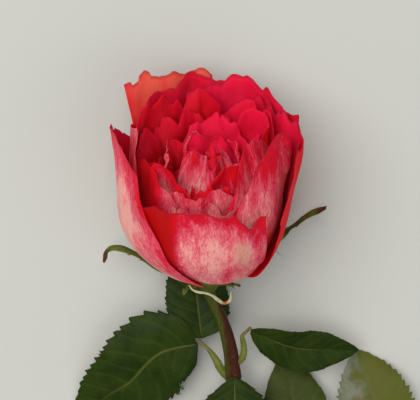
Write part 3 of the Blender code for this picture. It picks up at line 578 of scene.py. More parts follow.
# ================================================================ node-graph shorthand
class Graph:
    def __init__(self, name):
        self.mat = bpy.data.materials.new(name)
        self.mat.use_nodes = True
        self.t = self.mat.node_tree
        self.bsdf = self.t.nodes["Principled BSDF"]

    def put(self, sock, x):
        if isinstance(x, bpy.types.NodeSocket):
            self.t.links.new(x, sock)
        elif isinstance(x, (tuple, list)):
            sock.default_value = (*x, 1) if len(x) == 3 and len(sock.default_value) == 4 else x
        else:
            sock.default_value = x

    def math(self, op, a, b=0.0, clamp=False):
        n = self.t.nodes.new("ShaderNodeMath")
        n.operation, n.use_clamp = op, clamp
        self.put(n.inputs[0], a)
        self.put(n.inputs[1], b)
        return n.outputs[0]

    def add(self, a, b, clamp=False):
        return self.math("ADD", a, b, clamp)

    def mul(self, a, b, clamp=False):
        return self.math("MULTIPLY", a, b, clamp)

    def sub(self, a, b, clamp=False):
        return self.math("SUBTRACT", a, b, clamp)

    def pow(self, a, b):
        return self.math("POWER", a, b)

    def step(self, a, b, x, lo=0.0, hi=1.0):
        n = self.t.nodes.new("ShaderNodeMapRange")
        n.interpolation_type = "SMOOTHSTEP"
        self.put(n.inputs["Value"], x)
        for k, val in (("From Min", a), ("From Max", b), ("To Min", lo), ("To Max", hi)):
            n.inputs[k].default_value = val
        return n.outputs["Result"]

    def mix(self, f, a, b):
        n = self.t.nodes.new("ShaderNodeMix")
        n.data_type = "RGBA"
        self.put(n.inputs[0], f)
        self.put(n.inputs[6], a)
        self.put(n.inputs[7], b)
        return n.outputs[2]

    def times(self, a, b):
        n = self.t.nodes.new("ShaderNodeMix")
        n.data_type, n.blend_type = "RGBA", "MULTIPLY"
        n.inputs[0].default_value = 1.0
        self.put(n.inputs[6], a)
        self.put(n.inputs[7], b)
        return n.outputs[2]

    def attr(self, name):
        n = self.t.nodes.new("ShaderNodeAttribute")
        n.attribute_name = name
        return n.outputs["Fac"]

    def vec(self, x, y, z):
        n = self.t.nodes.new("ShaderNodeCombineXYZ")
        for k, val in enumerate((x, y, z)):
            self.put(n.inputs[k], val)
        return n.outputs[0]

    def noise(self, vec, scale=1.0, detail=3.0, rough=0.55, distort=0.0):
        n = self.t.nodes.new("ShaderNodeTexNoise")
        self.put(n.inputs["Vector"], vec)
        n.inputs["Scale"].default_value = scale
        n.inputs["Detail"].default_value = detail
        n.inputs["Roughness"].default_value = rough
        n.inputs["Distortion"].default_value = distort
        return n.outputs["Fac"]

    def position(self, scale):
        n = self.t.nodes.new("ShaderNodeTexCoord")
        m = self.t.nodes.new("ShaderNodeMapping")
        self.t.links.new(n.outputs["Object"], m.inputs["Vector"])
        m.inputs["Scale"].default_value = scale
        return m.outputs["Vector"]

    def bump(self, height, strength, distance):
        n = self.t.nodes.new("ShaderNodeBump")
        n.inputs["Strength"].default_value = strength
        n.inputs["Distance"].default_value = distance
        self.put(n.inputs["Height"], height)
        self.t.links.new(n.outputs[0], self.bsdf.inputs["Normal"])

    def set(self, **kw):
        for k, val in kw.items():
            self.put(self.bsdf.inputs[k.replace("_", " ")], val)


# ================================================================ petal material
CREAM = (0.78, 0.34, 0.295)
PINK = (0.70, 0.10, 0.14)
CRIMSON = (0.56, 0.004, 0.032)
RED = (0.62, 0.004, 0.012)
# painted shade: the dark red of the hollow deep in the cup
DEEP = (0.30, 0.0012, 0.002)
# painted light: a bright crimson for inner faces that stand in shade
HOT = (0.80, 0.008, 0.055)
# painted shade: a dark red for outer faces in folds and gaps between petals
DUSK = (0.40, 0.0015, 0.002)
GREENISH = (0.60, 0.46, 0.22)


def petal_material(p, seed):
    """Outer face: cream-pink with red veins that gather towards the rim, darkened in places by painted shade; inner
    face: velvet red, with painted shade low in the cup and painted light and glow on some petals.
    """
    g = Graph(f"petal_{p['name'][-2:]}_skin")
    s, v, side = g.attr("s"), g.attr("v"), g.attr("side")
    a = g.math("ABSOLUTE", s)
    # veins fan out from the claw: constant s is a vein's path
    streak = g.noise(g.vec(g.mul(s, 4.5), g.mul(v, 2.6), seed), 1.0, 5.0, 0.60, 1.0)
    fine = g.noise(g.vec(g.mul(s, 38.0), g.mul(v, 16.0), seed + 3.0), 1.0, 5.0, 0.66, 0.7)
    speck = g.noise(g.vec(g.mul(s, 46.0), g.mul(v, 40.0), seed + 7.0), 1.0, 4.0, 0.65, 0.4)
    broad = g.noise(g.vec(g.mul(s, 1.5), g.mul(v, 1.7), seed + 11.0), 1.0, 2.0, 0.5, 0.3)
    blot = g.noise(g.vec(g.mul(s, 7.0), g.mul(v, 6.5), seed + 29.0), 1.0, 5.0, 0.62, 0.5)
    red = g.add(g.mul(g.sub(streak, 0.5), 0.8), g.mul(g.sub(fine, 0.5), 0.85))
    red = g.add(red, g.mul(g.sub(speck, 0.5), 1.1))
    red = g.add(red, g.mul(g.sub(blot, 0.5), 1.2))
    red = g.add(red, g.mul(g.sub(broad, 0.5), 1.3))
    red = g.add(red, g.add(g.mul(g.step(0.66, 1.0, v), 0.62), g.mul(g.step(0.84, 0.97, v), p["brim"])))
    red = g.add(red, g.mul(g.step(0.70, 1.0, a), 0.34))
    red = g.sub(red, g.mul(g.step(0.45, 0.05, v), 0.20))
    # paleness from the left side, over the middle, to the right side
    pale = g.add(g.mul(g.step(*p["turn"], s), p["pale"] - p["pale_l"]), p["pale_l"])
    pale = g.add(pale, g.mul(g.step(0.0, 1.0, s), p["pale_r"] - p["pale"]))
    red = g.add(g.sub(red, g.mul(pale, 0.46)), 0.60, True)
    base = g.mix(g.step(0.34, 0.02, v), CREAM, GREENISH)
    if p["green"]:
        band = g.step(0.20, 0.04, g.math("ABSOLUTE", g.sub(g.add(s, g.mul(g.sub(streak, 0.5), 0.25)), p["green"])))
        base = g.mix(g.mul(g.mul(band, g.step(0.95, 0.75, v)), 0.75), base, (0.50, 0.31, 0.18))
        red = g.sub(red, g.mul(g.mul(band, g.step(0.92, 0.80, v)), 0.30), True)
    base = g.mix(g.step(0.30, 0.85, broad, 0.0, 0.45), base, PINK)
    outer = g.mix(g.step(-0.05, 0.45, red), base, PINK)
    outer = g.mix(g.step(0.30, 0.90, red), outer, CRIMSON)
    outer = g.mix(g.step(0.85, 1.0, red), outer, RED)
    # painted shade: dark red over the left side of the outer face, in the fold beside the next petal
    if p["dusk"]:
        outer = g.mix(g.mul(g.step(-0.20, -0.42, s), p["dusk"]), outer, DUSK)
    # painted shade: dark red low on the left of the outer face, in the gap under the neighbouring petal
    if p["low_red"]:
        outer = g.mix(g.mul(g.mul(g.step(0.66, 0.46, v), g.step(-0.62, -0.40, s)), p["low_red"]), outer, DUSK)
    # inner face
    vel = g.noise(g.vec(g.mul(s, 16.0), g.mul(v, 2.4), seed + 19.0), 1.0, 4.0, 0.6, 0.4)
    inner = g.mix(g.step(0.40, 0.80, vel), (0.58, 0.002, 0.010), (0.44, 0.0015, 0.004))
    # painted shade: the inner face darkens towards the bottom of the cup, by the petal's deep amount
    inner = g.mix(g.mul(g.add(g.step(0.92, 0.62, v), g.mul(g.sub(broad, 0.5), 0.5), True), p["deep"]), inner, DEEP)
    lit = g.add(g.step(0.80, 1.0, v), g.mul(g.sub(broad, 0.5), 0.8), True)
    inner = g.mix(g.mul(lit, 0.75), inner, (0.70, 0.004, 0.030))
    inner = g.mix(g.step(0.22, 0.02, v), inner, (0.60, 0.16, 0.03))
    inner = g.mix(g.mul(g.step(0.45, 0.8, streak), 0.32 * p["blush"]), inner, (0.78, 0.10, 0.14))
    # painted light: inner faces of petals in shade brightened to a lit crimson above a quarter of the way up
    inner = g.mix(g.mul(g.step(0.25, 0.95, v), 0.75 * p["hot"]), inner, HOT)
    # painted shade: the lower inner face darker by the petal's tone amount, most for petals on the left of the bloom
    if p["tone"]:
        inner = g.mix(g.mul(g.step(1.0, 0.80, v, 0.45, 1.0), p["tone"]), inner, (0.36, 0.0012, 0.002))
    # painted glow: an orange-red patch for light shining through the petal
    if p["glow"]:
        inner = g.mix(g.mul(g.step(0.35, 0.7, broad), p["glow"]), inner, (0.74, 0.110, 0.070))
    col = g.mix(g.step(0.42, 0.58, side), inner, outer)
    # the rim darker: partly its own dried edge, partly painted shade along the rim line
    rimline = g.add(g.step(0.975, 1.0, v), g.mul(g.sub(fine, 0.5), 0.8), True)
    col = g.mix(g.mul(rimline, 0.55 * p["dark"]), col, (0.14, 0.006, 0.02))
    g.set(Base_Color=col, Specular_IOR_Level=0.07, Sheen_Weight=0.02, Sheen_Roughness=0.45, Subsurface_Weight=0.40, Subsurface_Scale=0.0020)
    g.bsdf.inputs["Sheen Tint"].default_value = (1.0, 0.45, 0.5, 1)
    g.bsdf.inputs["Subsurface Radius"].default_value = (1.0, 0.16, 0.12)
    g.set(Roughness=g.step(0.3, 0.7, fine, 0.58, 0.72))
    veins = g.noise(g.vec(g.mul(s, 46.0), g.mul(v, 5.0), seed + 23.0), 1.0, 3.0, 0.6, 0.3)
    g.bump(g.add(g.mul(veins, 0.7), g.mul(speck, 0.3)), 0.40, 0.00025)
    return g.mat


# how pale the outer face is (middle, left, right side), how blushed the inner one, how dark the rim line (dried edge
# and painted shade), and the outward curl of the rim in degrees
LOOK = {
    "left": dict(tone=0.0, hot=0, cut=(0.17, -0.20, -0.62), tips=((-0.32, 0.16, 3.4),), crease=0.06, deep=0.4, pale=1.25, pale_l=1.6, pale_r=0.85, blush=0.2, dark=0.8, curl=60, curl_w=2.6),
    "front": dict(tone=0.0, hot=0, crease=0.05, dusk=1.0, brim=0.20, pale=0.80, pale_l=-2.2, pale_r=0.75, turn=(-0.78, -0.10), green=0.60, blush=0.3, dark=0.8, curl=95, curl_w=2.6),
    "right": dict(tone=0.0, margin=1.0, hot=0, crease=0.05, pale=-1.4, pale_l=-1.8, blush=0.0, deep=0.1, dark=1.0, curl=30, curl_w=2.0),
    "left_behind": dict(tone=0.0, cut=(0.05, 2.0, 1.9), tips=((-0.2, 0.45, 3.4),), crease=0.1, deep=0.5, pale=0.7, blush=0.3, dark=1.0, curl=30, curl_w=2.2),
    "back_left": dict(tone=0.0, ruffle=0.35, crease=0.12, hot=0, pale=0.9, blush=0.9, glow=0.95, dark=1.0, curl=35, curl_w=2.2),
    "back": dict(tone=0.15, nicks=((0.3, 0.05, 0.05),), crease=0.3, pale=0.6, blush=0.5, dark=1.0, curl=35, curl_w=2.2),
    "back_far_right": dict(tone=0.1, nicks=((-0.3, 0.06, 0.06), (0.35, 0.05, 0.04)), frill=0.7, crease=0.3, pale=0.6, blush=0.6, dark=1.0, curl=45, curl_w=2.4),
    "left_tucked": dict(crease=0.2, pale=1.15, blush=0.2, dark=0.4, curl=0, curl_w=2),
    "back_right": dict(nicks=((0.3, 0.05, 0.05), (-0.2, 0.04, 0.05), (0.7, 0.05, 0.06)), crease=0.3, pale=0.6, blush=0.5, dark=1.2, curl=40, curl_w=2.2, frill=1.9),
    "right_second": dict(low_red=0.95, crease=0.12, pale=0.55, pale_l=1.0, blush=0.2, dark=0.7, curl=20, curl_w=2),
    "front_second": dict(crease=0.25, brim=-0.15, pale=1.0, blush=0.3, dark=0.2, curl=25, curl_w=2),
    "left_second": dict(crease=0.25, nicks=(), turn=(0.25, 0.58), brim=-0.2, pale=0.6, pale_l=-2.2, pale_r=1.5, blush=0.1, dark=0.3, curl=15, curl_w=2),
    "back_inner_right": dict(nicks=((0.1, 0.07, 0.09), (-0.5, 0.06, 0.07)), hot=0.9, pale=0.5, blush=0.6, dark=0.3, curl=40, curl_w=2),
    "back_inner": dict(nicks=((-0.25, 0.08, 0.11), (0.45, 0.06, 0.08)), tone=0.55, pale=0.5, blush=0.4, dark=0.3, curl=30, curl_w=2),
    "right_third": dict(nicks=(), crease=0.3, brim=0.0, pale=1.08, pale_l=1.15, blush=0.3, dark=0.2, curl=20, curl_w=2),
    "front_third": dict(nicks=(), brim=-0.1, pale=1.0, blush=0.4, dark=0.2, curl=30, curl_w=2),
}


# waves round the bloom, turn for each mm up and for each mm outward, phase, and mm of crease
FOLDS = ((3, 0.21, 0.10, 0.4, 0.55), (5, -0.26, 0.13, 2.2, 0.50), (7, 0.17, -0.16, 4.4, 0.42), (11, -0.13, 0.20, 1.1, 0.30), (17, 0.30, -0.22, 5.0, 0.18))


def fine_petal(p, g):
    """A petal's control grid made fine: frilled and curled rim, soft creases, thinning towards the rim."""
    big = p["f"]
    rows, cols = int(46 + 26 * big), int(48 + 40 * big)
    m = refine(g, rows, cols)
    s = np.linspace(-1, 1, cols)[None, :]
    v = np.linspace(0, 1, rows)[:, None]
    if p["cut"] or p["nicks"]:  # a rim that stands lower over part of its width, or is split
        fall = p["cut"][0] * smooth(p["cut"][1], p["cut"][2], s) if p["cut"] else 0 * s
        for s0, wide, deep in p["nicks"]:
            fall = fall + deep * np.exp(-np.abs(s - s0) / wide)
        at = v * (rows - 1.0) * (1 - fall)
        i = np.minimum(at.astype(int), rows - 2)
        j = np.arange(cols)[None, :]
        m = m[i, j] * (1 - (at - i))[..., None] + m[i + 1, j] * (at - i)[..., None]
    rng = np.random.RandomState(p["seed"] + 77)
    n = grid_normals(m)
    along = unit(np.gradient(m, axis=0))
    # rim line: shallow lobes and small nicks
    lobes = np.zeros_like(s)
    for k, amp in ((2.2, 0.55), (4.3, 0.40), (8.1, 0.26), (15.0, 0.15), (27.0, 0.08)):
        lobes = lobes + amp * rng.uniform(0.5, 1) * np.sin(k * s * rng.uniform(0.85, 1.15) * 2 + rng.uniform(0, 6.28))
    frill = p.get("frill", 0.0)
    if frill:
        lobes = lobes + frill * 0.7 * np.abs(np.sin(9 * s + rng.uniform(0, 6.28))) - 0.3 * frill
    m = m + along * (lobes * (0.6 + 0.6 * big) * (1 + 1.2 * p["crease"]) * smooth(0.70, 1.0, v))[..., None]
    # creases that run up the petal, and a ruffle that grows towards the rim
    press = np.zeros((rows, cols))
    for _ in range(4):
        k, ph, w = rng.uniform(3, 9), rng.uniform(0, 6.28), rng.uniform(0.2, 1.0)
        press += w * np.sin(k * s + ph + 1.3 * v * rng.uniform(-1, 1)) * smooth(0.25, 0.9, v)
    ruf = np.zeros((rows, cols))
    for _ in range(3):
        k, ph = rng.uniform(9, 19), rng.uniform(0, 6.28)
        ruf += rng.uniform(0.3, 1.0) * np.sin(k * s + ph + 3 * v)
    m = m + n * p["ruffle"] * (0.15 * press + (0.17 + 0.14 * big) * ruf * smooth(0.66, 1.0, v) ** 1.4)[..., None]
    # creases that neighbouring petals share, so that they fold together
    bearing, away = np.arctan2(m[..., 0], -m[..., 1]), np.hypot(m[..., 0], m[..., 1])
    folds = np.zeros((rows, cols))
    for k, up, out, ph, amp in FOLDS:
        folds += amp * (1 - 2 * np.abs(np.sin(0.5 * (k * bearing + up * m[..., 2] + out * away + ph))))
    m = m + n * (p["crease"] * folds * smooth(0.25, 0.75, v))[..., None]
    # curl of the rim
    curl, width = math.radians(p["curl"]), p["curl_w"]
    if curl:
        run = np.r_[np.zeros((1, cols)), np.cumsum(np.sqrt((np.diff(m, axis=0) ** 2).sum(-1)), 0)]
        left = run[-1:] - run
        vary = 0.55 + 0.45 * np.sin(rng.uniform(2, 4) * s + rng.uniform(0, 6.28))
        x = np.clip(1 - left / width, 0, 1)
        ang = curl * vary * (1 - 0.6 * s**4)
        start = np.argmax(left <= width, axis=0)
        cols_i = np.arange(cols)
        p0, t0, n0 = m[start, cols_i], along[start, cols_i], n[start, cols_i]
        h = x * width
        th = np.maximum(np.abs(ang) * x, 1e-6)
        bent = p0[None] + t0[None] * (h * np.sin(th) / th)[..., None] + n0[None] * (math.copysign(1, curl) * h * (1 - np.cos(th)) / th)[..., None]
        m = np.where((x > 0)[..., None], bent, m)
    for s0, wide, mm in p["tips"]:
        m = m + (n * 0.8 + along * 0.35)[...] * (mm * np.exp(-(((s - s0) / wide) ** 2)) * smooth(0.55, 1.0, v))[..., None]
    if p["margin"]:
        side = unit(np.gradient(m, axis=1))
        wave = -0.9 * np.cos(2 * np.pi * (v - 0.66) / 0.19) * smooth(0.50, 0.66, v) + 0.25 * np.sin(46 * v) * smooth(0.1, 0.3, v)
        m = m - side * (p["margin"] * wave * smooth(0.62, 1.0, -s))[..., None]
    thick = 0.5 * (0.34 - 0.16 * smooth(0.6, 1.0, v) - 0.05 * np.abs(s) ** 3)
    return fine_shell(m, np.broadcast_to(thick, (rows, cols)), dict(s=s + 0 * v, v=v + 0 * s))


table = petal_table()
grids = settle_petals(table, PETAL_GAP, SPARE, SETTLE)
rng, split = np.random.RandomState(5), np.random.RandomState(8)
for k, (p, g) in enumerate(zip(table, grids)):
    d = dict(pale=0.62 + 0.30 * rng.uniform(-1, 1), blush=rng.uniform(0.1, 0.9), dark=0.15, curl=rng.uniform(0, 50), curl_w=rng.uniform(1.0, 1.8))
    if k < 8:
        d.update(pale=0.85 + 0.2 * rng.uniform(-1, 1), curl=rng.uniform(0, 35), curl_w=1.0)
    # by bearing round the bloom: more painted hollow shade (deep) and painted shade (tone) on the left, painted light
    # on the right
    d.update(green=0.0, glow=0.0, deep=1.0 - 0.55 * float(smooth(0.0, 0.6, math.sin(math.radians(p["phi"])))), turn=(-1.0, 0.0), dusk=0.0, hot=rng.choice((0.0, 0.25, 0.9)) if math.sin(math.radians(p["phi"])) < 0 else 0.9, tone=(0.22 + 0.70 * float(smooth(0.1, -0.6, math.sin(math.radians(p["phi"]))))) * rng.uniform(0.5, 1.0), low_red=0.0, brim=0.0, margin=0.0, nicks=(), cut=None, tips=(), ruffle=1.0, crease=1.35 if k < 20 else 0.7)
    if math.cos(math.radians(p["phi"])) < -0.1 and rng.uniform() < 0.6:
        d.update(curl=-rng.uniform(60, 150), curl_w=rng.uniform(1.1, 1.9), brim=-0.45)
    # the inner petals: full painted light on the inner face and less painted hollow shade
    if k < 12:
        d.update(tone=0.0, hot=1.0, deep=0.35, blush=1.0)
    if 5 < k < 26:
        d.update(nicks=[(split.uniform(-0.8, 0.8), split.uniform(0.05, 0.12), split.uniform(0.04, 0.12)) for _ in range(split.randint(1, 4))])
    d.update(LOOK.get(p.get("key"), {}))
    d["pale_l"], d["pale_r"] = d.get("pale_l", d["pale"]), d.get("pale_r", d["pale"])
    p.update(d)
    verts, faces, att = fine_petal(p, g)
    make(p["name"] + "_fine", bloom_to_world(verts), faces, att, petal_material(p, 13.7 * k + 1.3), "petals", p["name"])


# ================================================================ leaves
def leaf_material():
    g = Graph("leaf_blade")
    s, v, side, vein, rnd = g.attr("s"), g.attr("v"), g.attr("side"), g.attr("vein"), g.attr("tone")
    pos = g.position((120, 120, 120))
    n1, n2 = g.noise(pos, 1.0, 4.0, 0.6), g.noise(pos, 7.0, 3.0, 0.6)
    top = g.mix(g.step(0.3, 0.7, n1), (0.008, 0.019, 0.0008), (0.017, 0.033, 0.0018))
    top = g.mix(g.mul(g.step(0.35, 0.8, n2), 0.30), top, (0.024, 0.041, 0.003))
    top = g.mix(g.mul(vein, 0.28), top, (0.044, 0.060, 0.008))
    rib = g.step(0.045, 0.008, g.math("ABSOLUTE", s))
    rib = g.mul(rib, g.step(1.0, 0.25, v))
    top = g.mix(g.mul(rib, 0.65), top, (0.090, 0.092, 0.014))
    top = g.mix(g.mul(g.step(0.965, 1.0, g.math("ABSOLUTE", s)), 0.4), top, (0.040, 0.034, 0.010))
    top = g.mix(g.mul(rnd, 0.8), top, (0.098, 0.104, 0.016))
    blot = g.mul(g.mul(rnd, g.step(0.62, 0.72, g.noise(pos, 2.3, 2.0, 0.5))), 0.5)
    top = g.mix(blot, top, (0.14, 0.085, 0.020))
    # painted sheen: a grey-white reflection in patches over one side of the blade
    grey = g.mul(g.attr("bloomy"), g.step(0.30, 0.62, g.noise(pos, 1.3, 3.0, 0.6)))
    top = g.mix(g.mul(grey, 0.75), top, (0.17, 0.18, 0.15))
    under = g.mix(g.step(0.3, 0.7, n1), (0.070, 0.105, 0.032), (0.095, 0.130, 0.048))
    under = g.mix(g.mul(vein, 0.6), under, (0.16, 0.18, 0.08))
    col = g.mix(g.step(0.42, 0.58, side), under, top)
    g.set(Base_Color=col, Specular_IOR_Level=0.07, Coat_Weight=0.015, Coat_Roughness=0.32, Subsurface_Weight=0.04, Subsurface_Scale=0.001)
    g.bsdf.inputs["Subsurface Radius"].default_value = (0.5, 1.0, 0.2)
    g.set(Roughness=g.step(0.25, 0.75, n2, 0.40, 0.56))
    cells = g.noise(g.position((900, 900, 900)), 1.0, 2.0, 0.5)
    g.bump(g.add(g.mul(n2, 0.6), g.mul(cells, 0.4)), 0.25, 0.0002)
    return g.mat


def leaf_piece(name, b, seed, mat, teeth=17, tone=0.0, bloomy=0.0, depth=1.0):
    rng = np.random.RandomState(seed)
    steps = 10
    nv, nu = teeth * steps + 1, 41
    v = np.linspace(0, 1, nv)
    s0 = np.linspace(-1, 1, nu)
    s = np.sign(s0) * (1 - (1 - np.abs(s0)) ** 1.25)  # closer rows at the margin
    b = dict(b)
    mid = blade(b, s, v)
    # teeth that point to the tip, a little unlike each other
    ph = v * teeth
    cell, fr = np.floor(ph).astype(int), ph - np.floor(ph)
    size = 0.55 + 0.45 * rng.uniform(0, 1, (teeth + 2, 2))
    tooth = np.stack([(fr**1.25) / 0.9 * size[np.minimum(cell, teeth), k] for k in (0, 1)], 1)
    tooth = tooth * (fr < 0.92)[:, None] + 0.05 * (fr >= 0.92)[:, None]
    ends = (smooth(0.03, 0.12, v) * (1 - smooth(0.95, 1.0, v)))[:, None]
    cut = (1 - 0.115 * depth * ends * (1 - tooth))
    S = s[None, :]
    amount = np.where(S < 0, cut[:, :1], cut[:, 1:])
    centre = mid[:, nu // 2 : nu // 2 + 1, :]
    w = np.abs(S) ** 7
    scale = 1 - (1 - amount) * w
    mid = centre + (mid - centre) * scale[..., None]
    # the margin's points lean towards the tip
    t = unit(np.gradient(mid, axis=0))
    mid = mid + t * (0.8 * depth * ends * (tooth[:, :1] * (S < 0) + tooth[:, 1:] * (S > 0)) * w)[..., None]
    # veins: sunk on the upper face, blade quilted between them
    V = v[:, None]
    A = np.abs(S)
    count = 8.0
    lat = (V * 1.08 - 0.20 * A**1.25 - 0.02) * count + np.where(S < 0, 0.0, 0.45)
    lat = lat + 0.16 * np.sin(V * rng.uniform(14, 22) + A * 3 + rng.uniform(0, 6.28)) * A
    d = np.abs(lat - np.round(lat))
    keep = smooth(0.0, 0.04, A) * (1 - smooth(0.78, 0.98, A)) * smooth(0.02, 0.08, V)
    line = np.exp(-((d / 0.075) ** 2)) * keep
    quilt = (0.5 - 0.5 * np.cos(2 * np.pi * lat)) * keep
    rib = np.exp(-((S / 0.035) ** 2)) * (1 - 0.6 * V)
    n = grid_normals(mid)
    cross = np.sin(lat * 6.28 * 2 + A * 60) * keep
    h = 0.085 * quilt - 0.075 * line - 0.22 * rib + 0.012 * cross
    mid = mid + n * h[..., None]
    mid = rest_on_surface(mid)
    half = 0.5 * (0.34 - 0.14 * A**4 + 0.30 * rib) + 0 * V
    verts, faces, att = fine_shell(mid, half, dict(s=S + 0 * V, v=V + 0 * S, vein=np.clip(line, 0, 1), tone=np.full((nv, nu), tone), bloomy=bloomy * smooth(0.1, -0.35, S) + 0 * V))
    return make(name + "_fine", place(verts), faces, att, mat, "leaf_blades", name)


leaf_mat = leaf_material()
for k, (name, b) in enumerate(LEAVES.items()):
    if "path" in b:
        # leaflet b gets an olive tone of its own and a painted sheen on one side
        leaf_piece(name, b, 100 + k, leaf_mat, teeth=22 if b["width"] > 30 else 18, tone={"leaf_right_lower_leaflet_b": 0.95, "leaf_right_lower_leaflet_a": 0.22}.get(name, 0.0), bloomy={"leaf_right_lower_leaflet_b": 1.0}.get(name, 0.0), depth={"leaf_right_upper_leaflet": 0.30, "leaf_left_upper_leaflet_side": 0.50, "leaf_right_lower_leaflet_a": 0.25}.get(name, 1.0))


# ================================================================ round pieces: stem, stalks, receptacle
def round_tube(path, radius, sides, steps, extra=None, slant=0.0, caps=(5, 5)):
    """A closed tube with ringed caps. radius(k, w) in mm over run 0..1 and angle. Returns verts, faces and attributes."""
    c = curve(path, steps)
    t = unit(np.gradient(c, axis=0))
    side = unit(np.cross(t, np.array([0, 0, 1.0])))
    top = np.cross(side, t)
    k = np.linspace(0, 1, steps)
    w = np.linspace(0, 2 * np.pi, sides, endpoint=False)
    R, FX = radius(k[:, None], w[None, :], c)
    P = c[:, None, :] + side[:, None, :] * (np.cos(w)[None, :] * R * FX)[..., None] + top[:, None, :] * (np.sin(w)[None, :] * R)[..., None]
    if slant:
        blend = np.clip((k - 0.97) / 0.03, 0, 1)[:, None]
        P = P + t[-1] * (np.cos(w)[None, :] * R * slant * blend)[..., None]
    rings = [P[i] for i in range(steps)]
    ang = [np.cos(w)] * steps
    high = [np.sin(w)] * steps
    run = [np.full(sides, kk) for kk in k]
    core = [np.zeros(sides)] * steps
    def cap(ring, n, tt, bulge):
        mid = ring.mean(0)
        out = []
        for i in range(1, n):
            f = 1 - i / n
            out.append((mid + (ring - mid) * f + tt * bulge * (1 - f**2), 1 - f))
        return out, mid + tt * bulge
    tail, tip = cap(P[-1], caps[1], t[-1], 0.12)
    head, tip0 = cap(P[0], caps[0], -t[0], 0.12)
    for q, f in tail:
        rings.append(q); ang.append(np.cos(w)); high.append(np.sin(w)); run.append(np.ones(sides)); core.append(np.full(sides, f))
    for q, f in head:
        rings.insert(0, q); ang.insert(0, np.cos(w)); high.insert(0, np.sin(w)); run.insert(0, np.zeros(sides)); core.insert(0, np.full(sides, f))
    V = np.vstack(rings)
    n = len(rings)
    faces = []
    for i in range(n - 1):
        a = i * sides + np.arange(sides)
        b = i * sides + (np.arange(sides) + 1) % sides
        faces += np.stack([a, b, b + sides, a + sides], 1).tolist()
    V = np.vstack([V, tip0, tip])
    z = n * sides
    for j in range(sides):
        faces.append((z, (j + 1) % sides, j))
        faces.append((z + 1, (n - 1) * sides + j, (n - 1) * sides + (j + 1) % sides))
    cat = lambda x, a, b: np.concatenate([np.concatenate(x), [a, b]])
    att = dict(ang=cat(ang, 0, 0), high=cat(high, 0, 0), run=cat(run, 0, 1), core=cat(core, 1, 1))
    att["s"], att["v"] = att["ang"], att["run"]
    return V, faces, att


def stem_material():
    g = Graph("stem_bark")
    ang, high, run, core = g.attr("ang"), g.attr("high"), g.attr("run"), g.attr("core")
    pos = g.position((260, 60, 260))
    n1 = g.noise(pos, 1.0, 4.0, 0.6, 0.4)
    n2 = g.noise(g.position((1400, 220, 1400)), 1.0, 3.0, 0.6)
    n3 = g.noise(g.position((700, 700, 700)), 1.0, 2.0, 0.5)
    red = g.add(g.mul(ang, -0.85), g.mul(g.sub(n1, 0.5), 1.5))
    red = g.add(red, g.mul(high, 0.25))
    red = g.add(red, 0.38)
    red = g.sub(red, g.mul(g.step(0.075, 0.0, run), 1.3))
    red = g.sub(red, g.mul(g.step(0.30, 0.9, run), 0.35))
    green = g.mix(g.step(0.3, 0.7, n2), (0.034, 0.044, 0.004), (0.058, 0.064, 0.007))
    brown = g.mix(g.step(0.3, 0.7, n2), (0.027, 0.0055, 0.0010), (0.050, 0.011, 0.0020))
    col = g.mix(g.step(0.0, 0.55, red), green, brown)
    col = g.mix(g.mul(g.step(0.66, 0.74, n3), 0.45), col, (0.17, 0.14, 0.06))
    node = g.attr("node")
    col = g.mix(g.mul(node, 0.6), col, (0.055, 0.018, 0.010))
    cut = g.mix(g.step(0.2, 0.5, core), (0.30, 0.34, 0.13), (0.62, 0.62, 0.42))
    cut = g.mix(g.mul(g.step(0.55, 0.75, n2), 0.3), cut, (0.35, 0.30, 0.15))
    col = g.mix(g.mul(g.step(0.05, 0.12, core), g.step(0.98, 1.0, run)), col, cut)
    g.set(Base_Color=col, Specular_IOR_Level=0.12)
    g.set(Roughness=g.step(0.3, 0.7, n2, 0.38, 0.54))
    g.bump(g.add(g.mul(n2, 0.6), g.mul(n3, 0.4)), 0.3, 0.00025)
    return g.mat


def skin_material(name, a, b, tip, rough=0.5, scale=300, extra=None):
    g = Graph(name)
    n1 = g.noise(g.position((scale,) * 3), 1.0, 4.0, 0.6, 0.3)
    n2 = g.noise(g.position((scale * 5,) * 3), 1.0, 3.0, 0.6)
    col = g.mix(g.step(0.3, 0.7, n1), a, b)
    col = g.mix(g.mul(g.step(0.45, 0.8, n2), 0.3), col, tuple(0.6 * x for x in a))
    if tip:
        col = g.mix(g.mul(g.step(tip[0], tip[1], g.attr("v")), 0.85), col, tip[2])
    if extra:
        col = extra(g, col)
    g.set(Base_Color=col, Specular_IOR_Level=0.18, Subsurface_Weight=0.06, Subsurface_Scale=0.001)
    g.set(Roughness=g.step(0.3, 0.7, n2, rough - 0.06, rough + 0.1))
    g.bump(n2, 0.3, 0.0002)
    return g.mat


def stem_shape(k, w, c):
    rng = np.random.RandomState(3)
    r = stem_radius(k[:, 0], c)[:, None]
    wav = 0
    for _ in range(5):
        a, b = rng.randint(2, 6), rng.uniform(20, 90)
        wav = wav + 0.030 * np.sin(a * w + rng.uniform(0, 6.28) + 2.5 * np.sin(b * 0.12 * k)) * np.sin(b * k + rng.uniform(0, 6.28))
    ridge = 0.05 * np.cos(5 * w + 3 * k)
    for y in NODES_Y:  # a rim round each node
        d = c[:, 1:2] - y
        r = r + 0.22 * np.exp(-(((d + 1.6) / 0.5) ** 2)) * (0.7 + 0.3 * np.cos(2 * w))
    return r + wav + ridge, np.ones_like(w)


sv, sf, sa = round_tube([(0.0, -8.2, BASE_H - 3.32)] + STEM_PATH[1:], stem_shape, 40, 520, slant=-0.7, caps=(3, 7))
ys = sv[:, 1]
sa["node"] = sum(np.exp(-(((ys - y + 1.4) / 1.1) ** 2)) for y in NODES_Y)
make("stem_fine", place(sv), sf, sa, stem_material(), "stem", "stem")

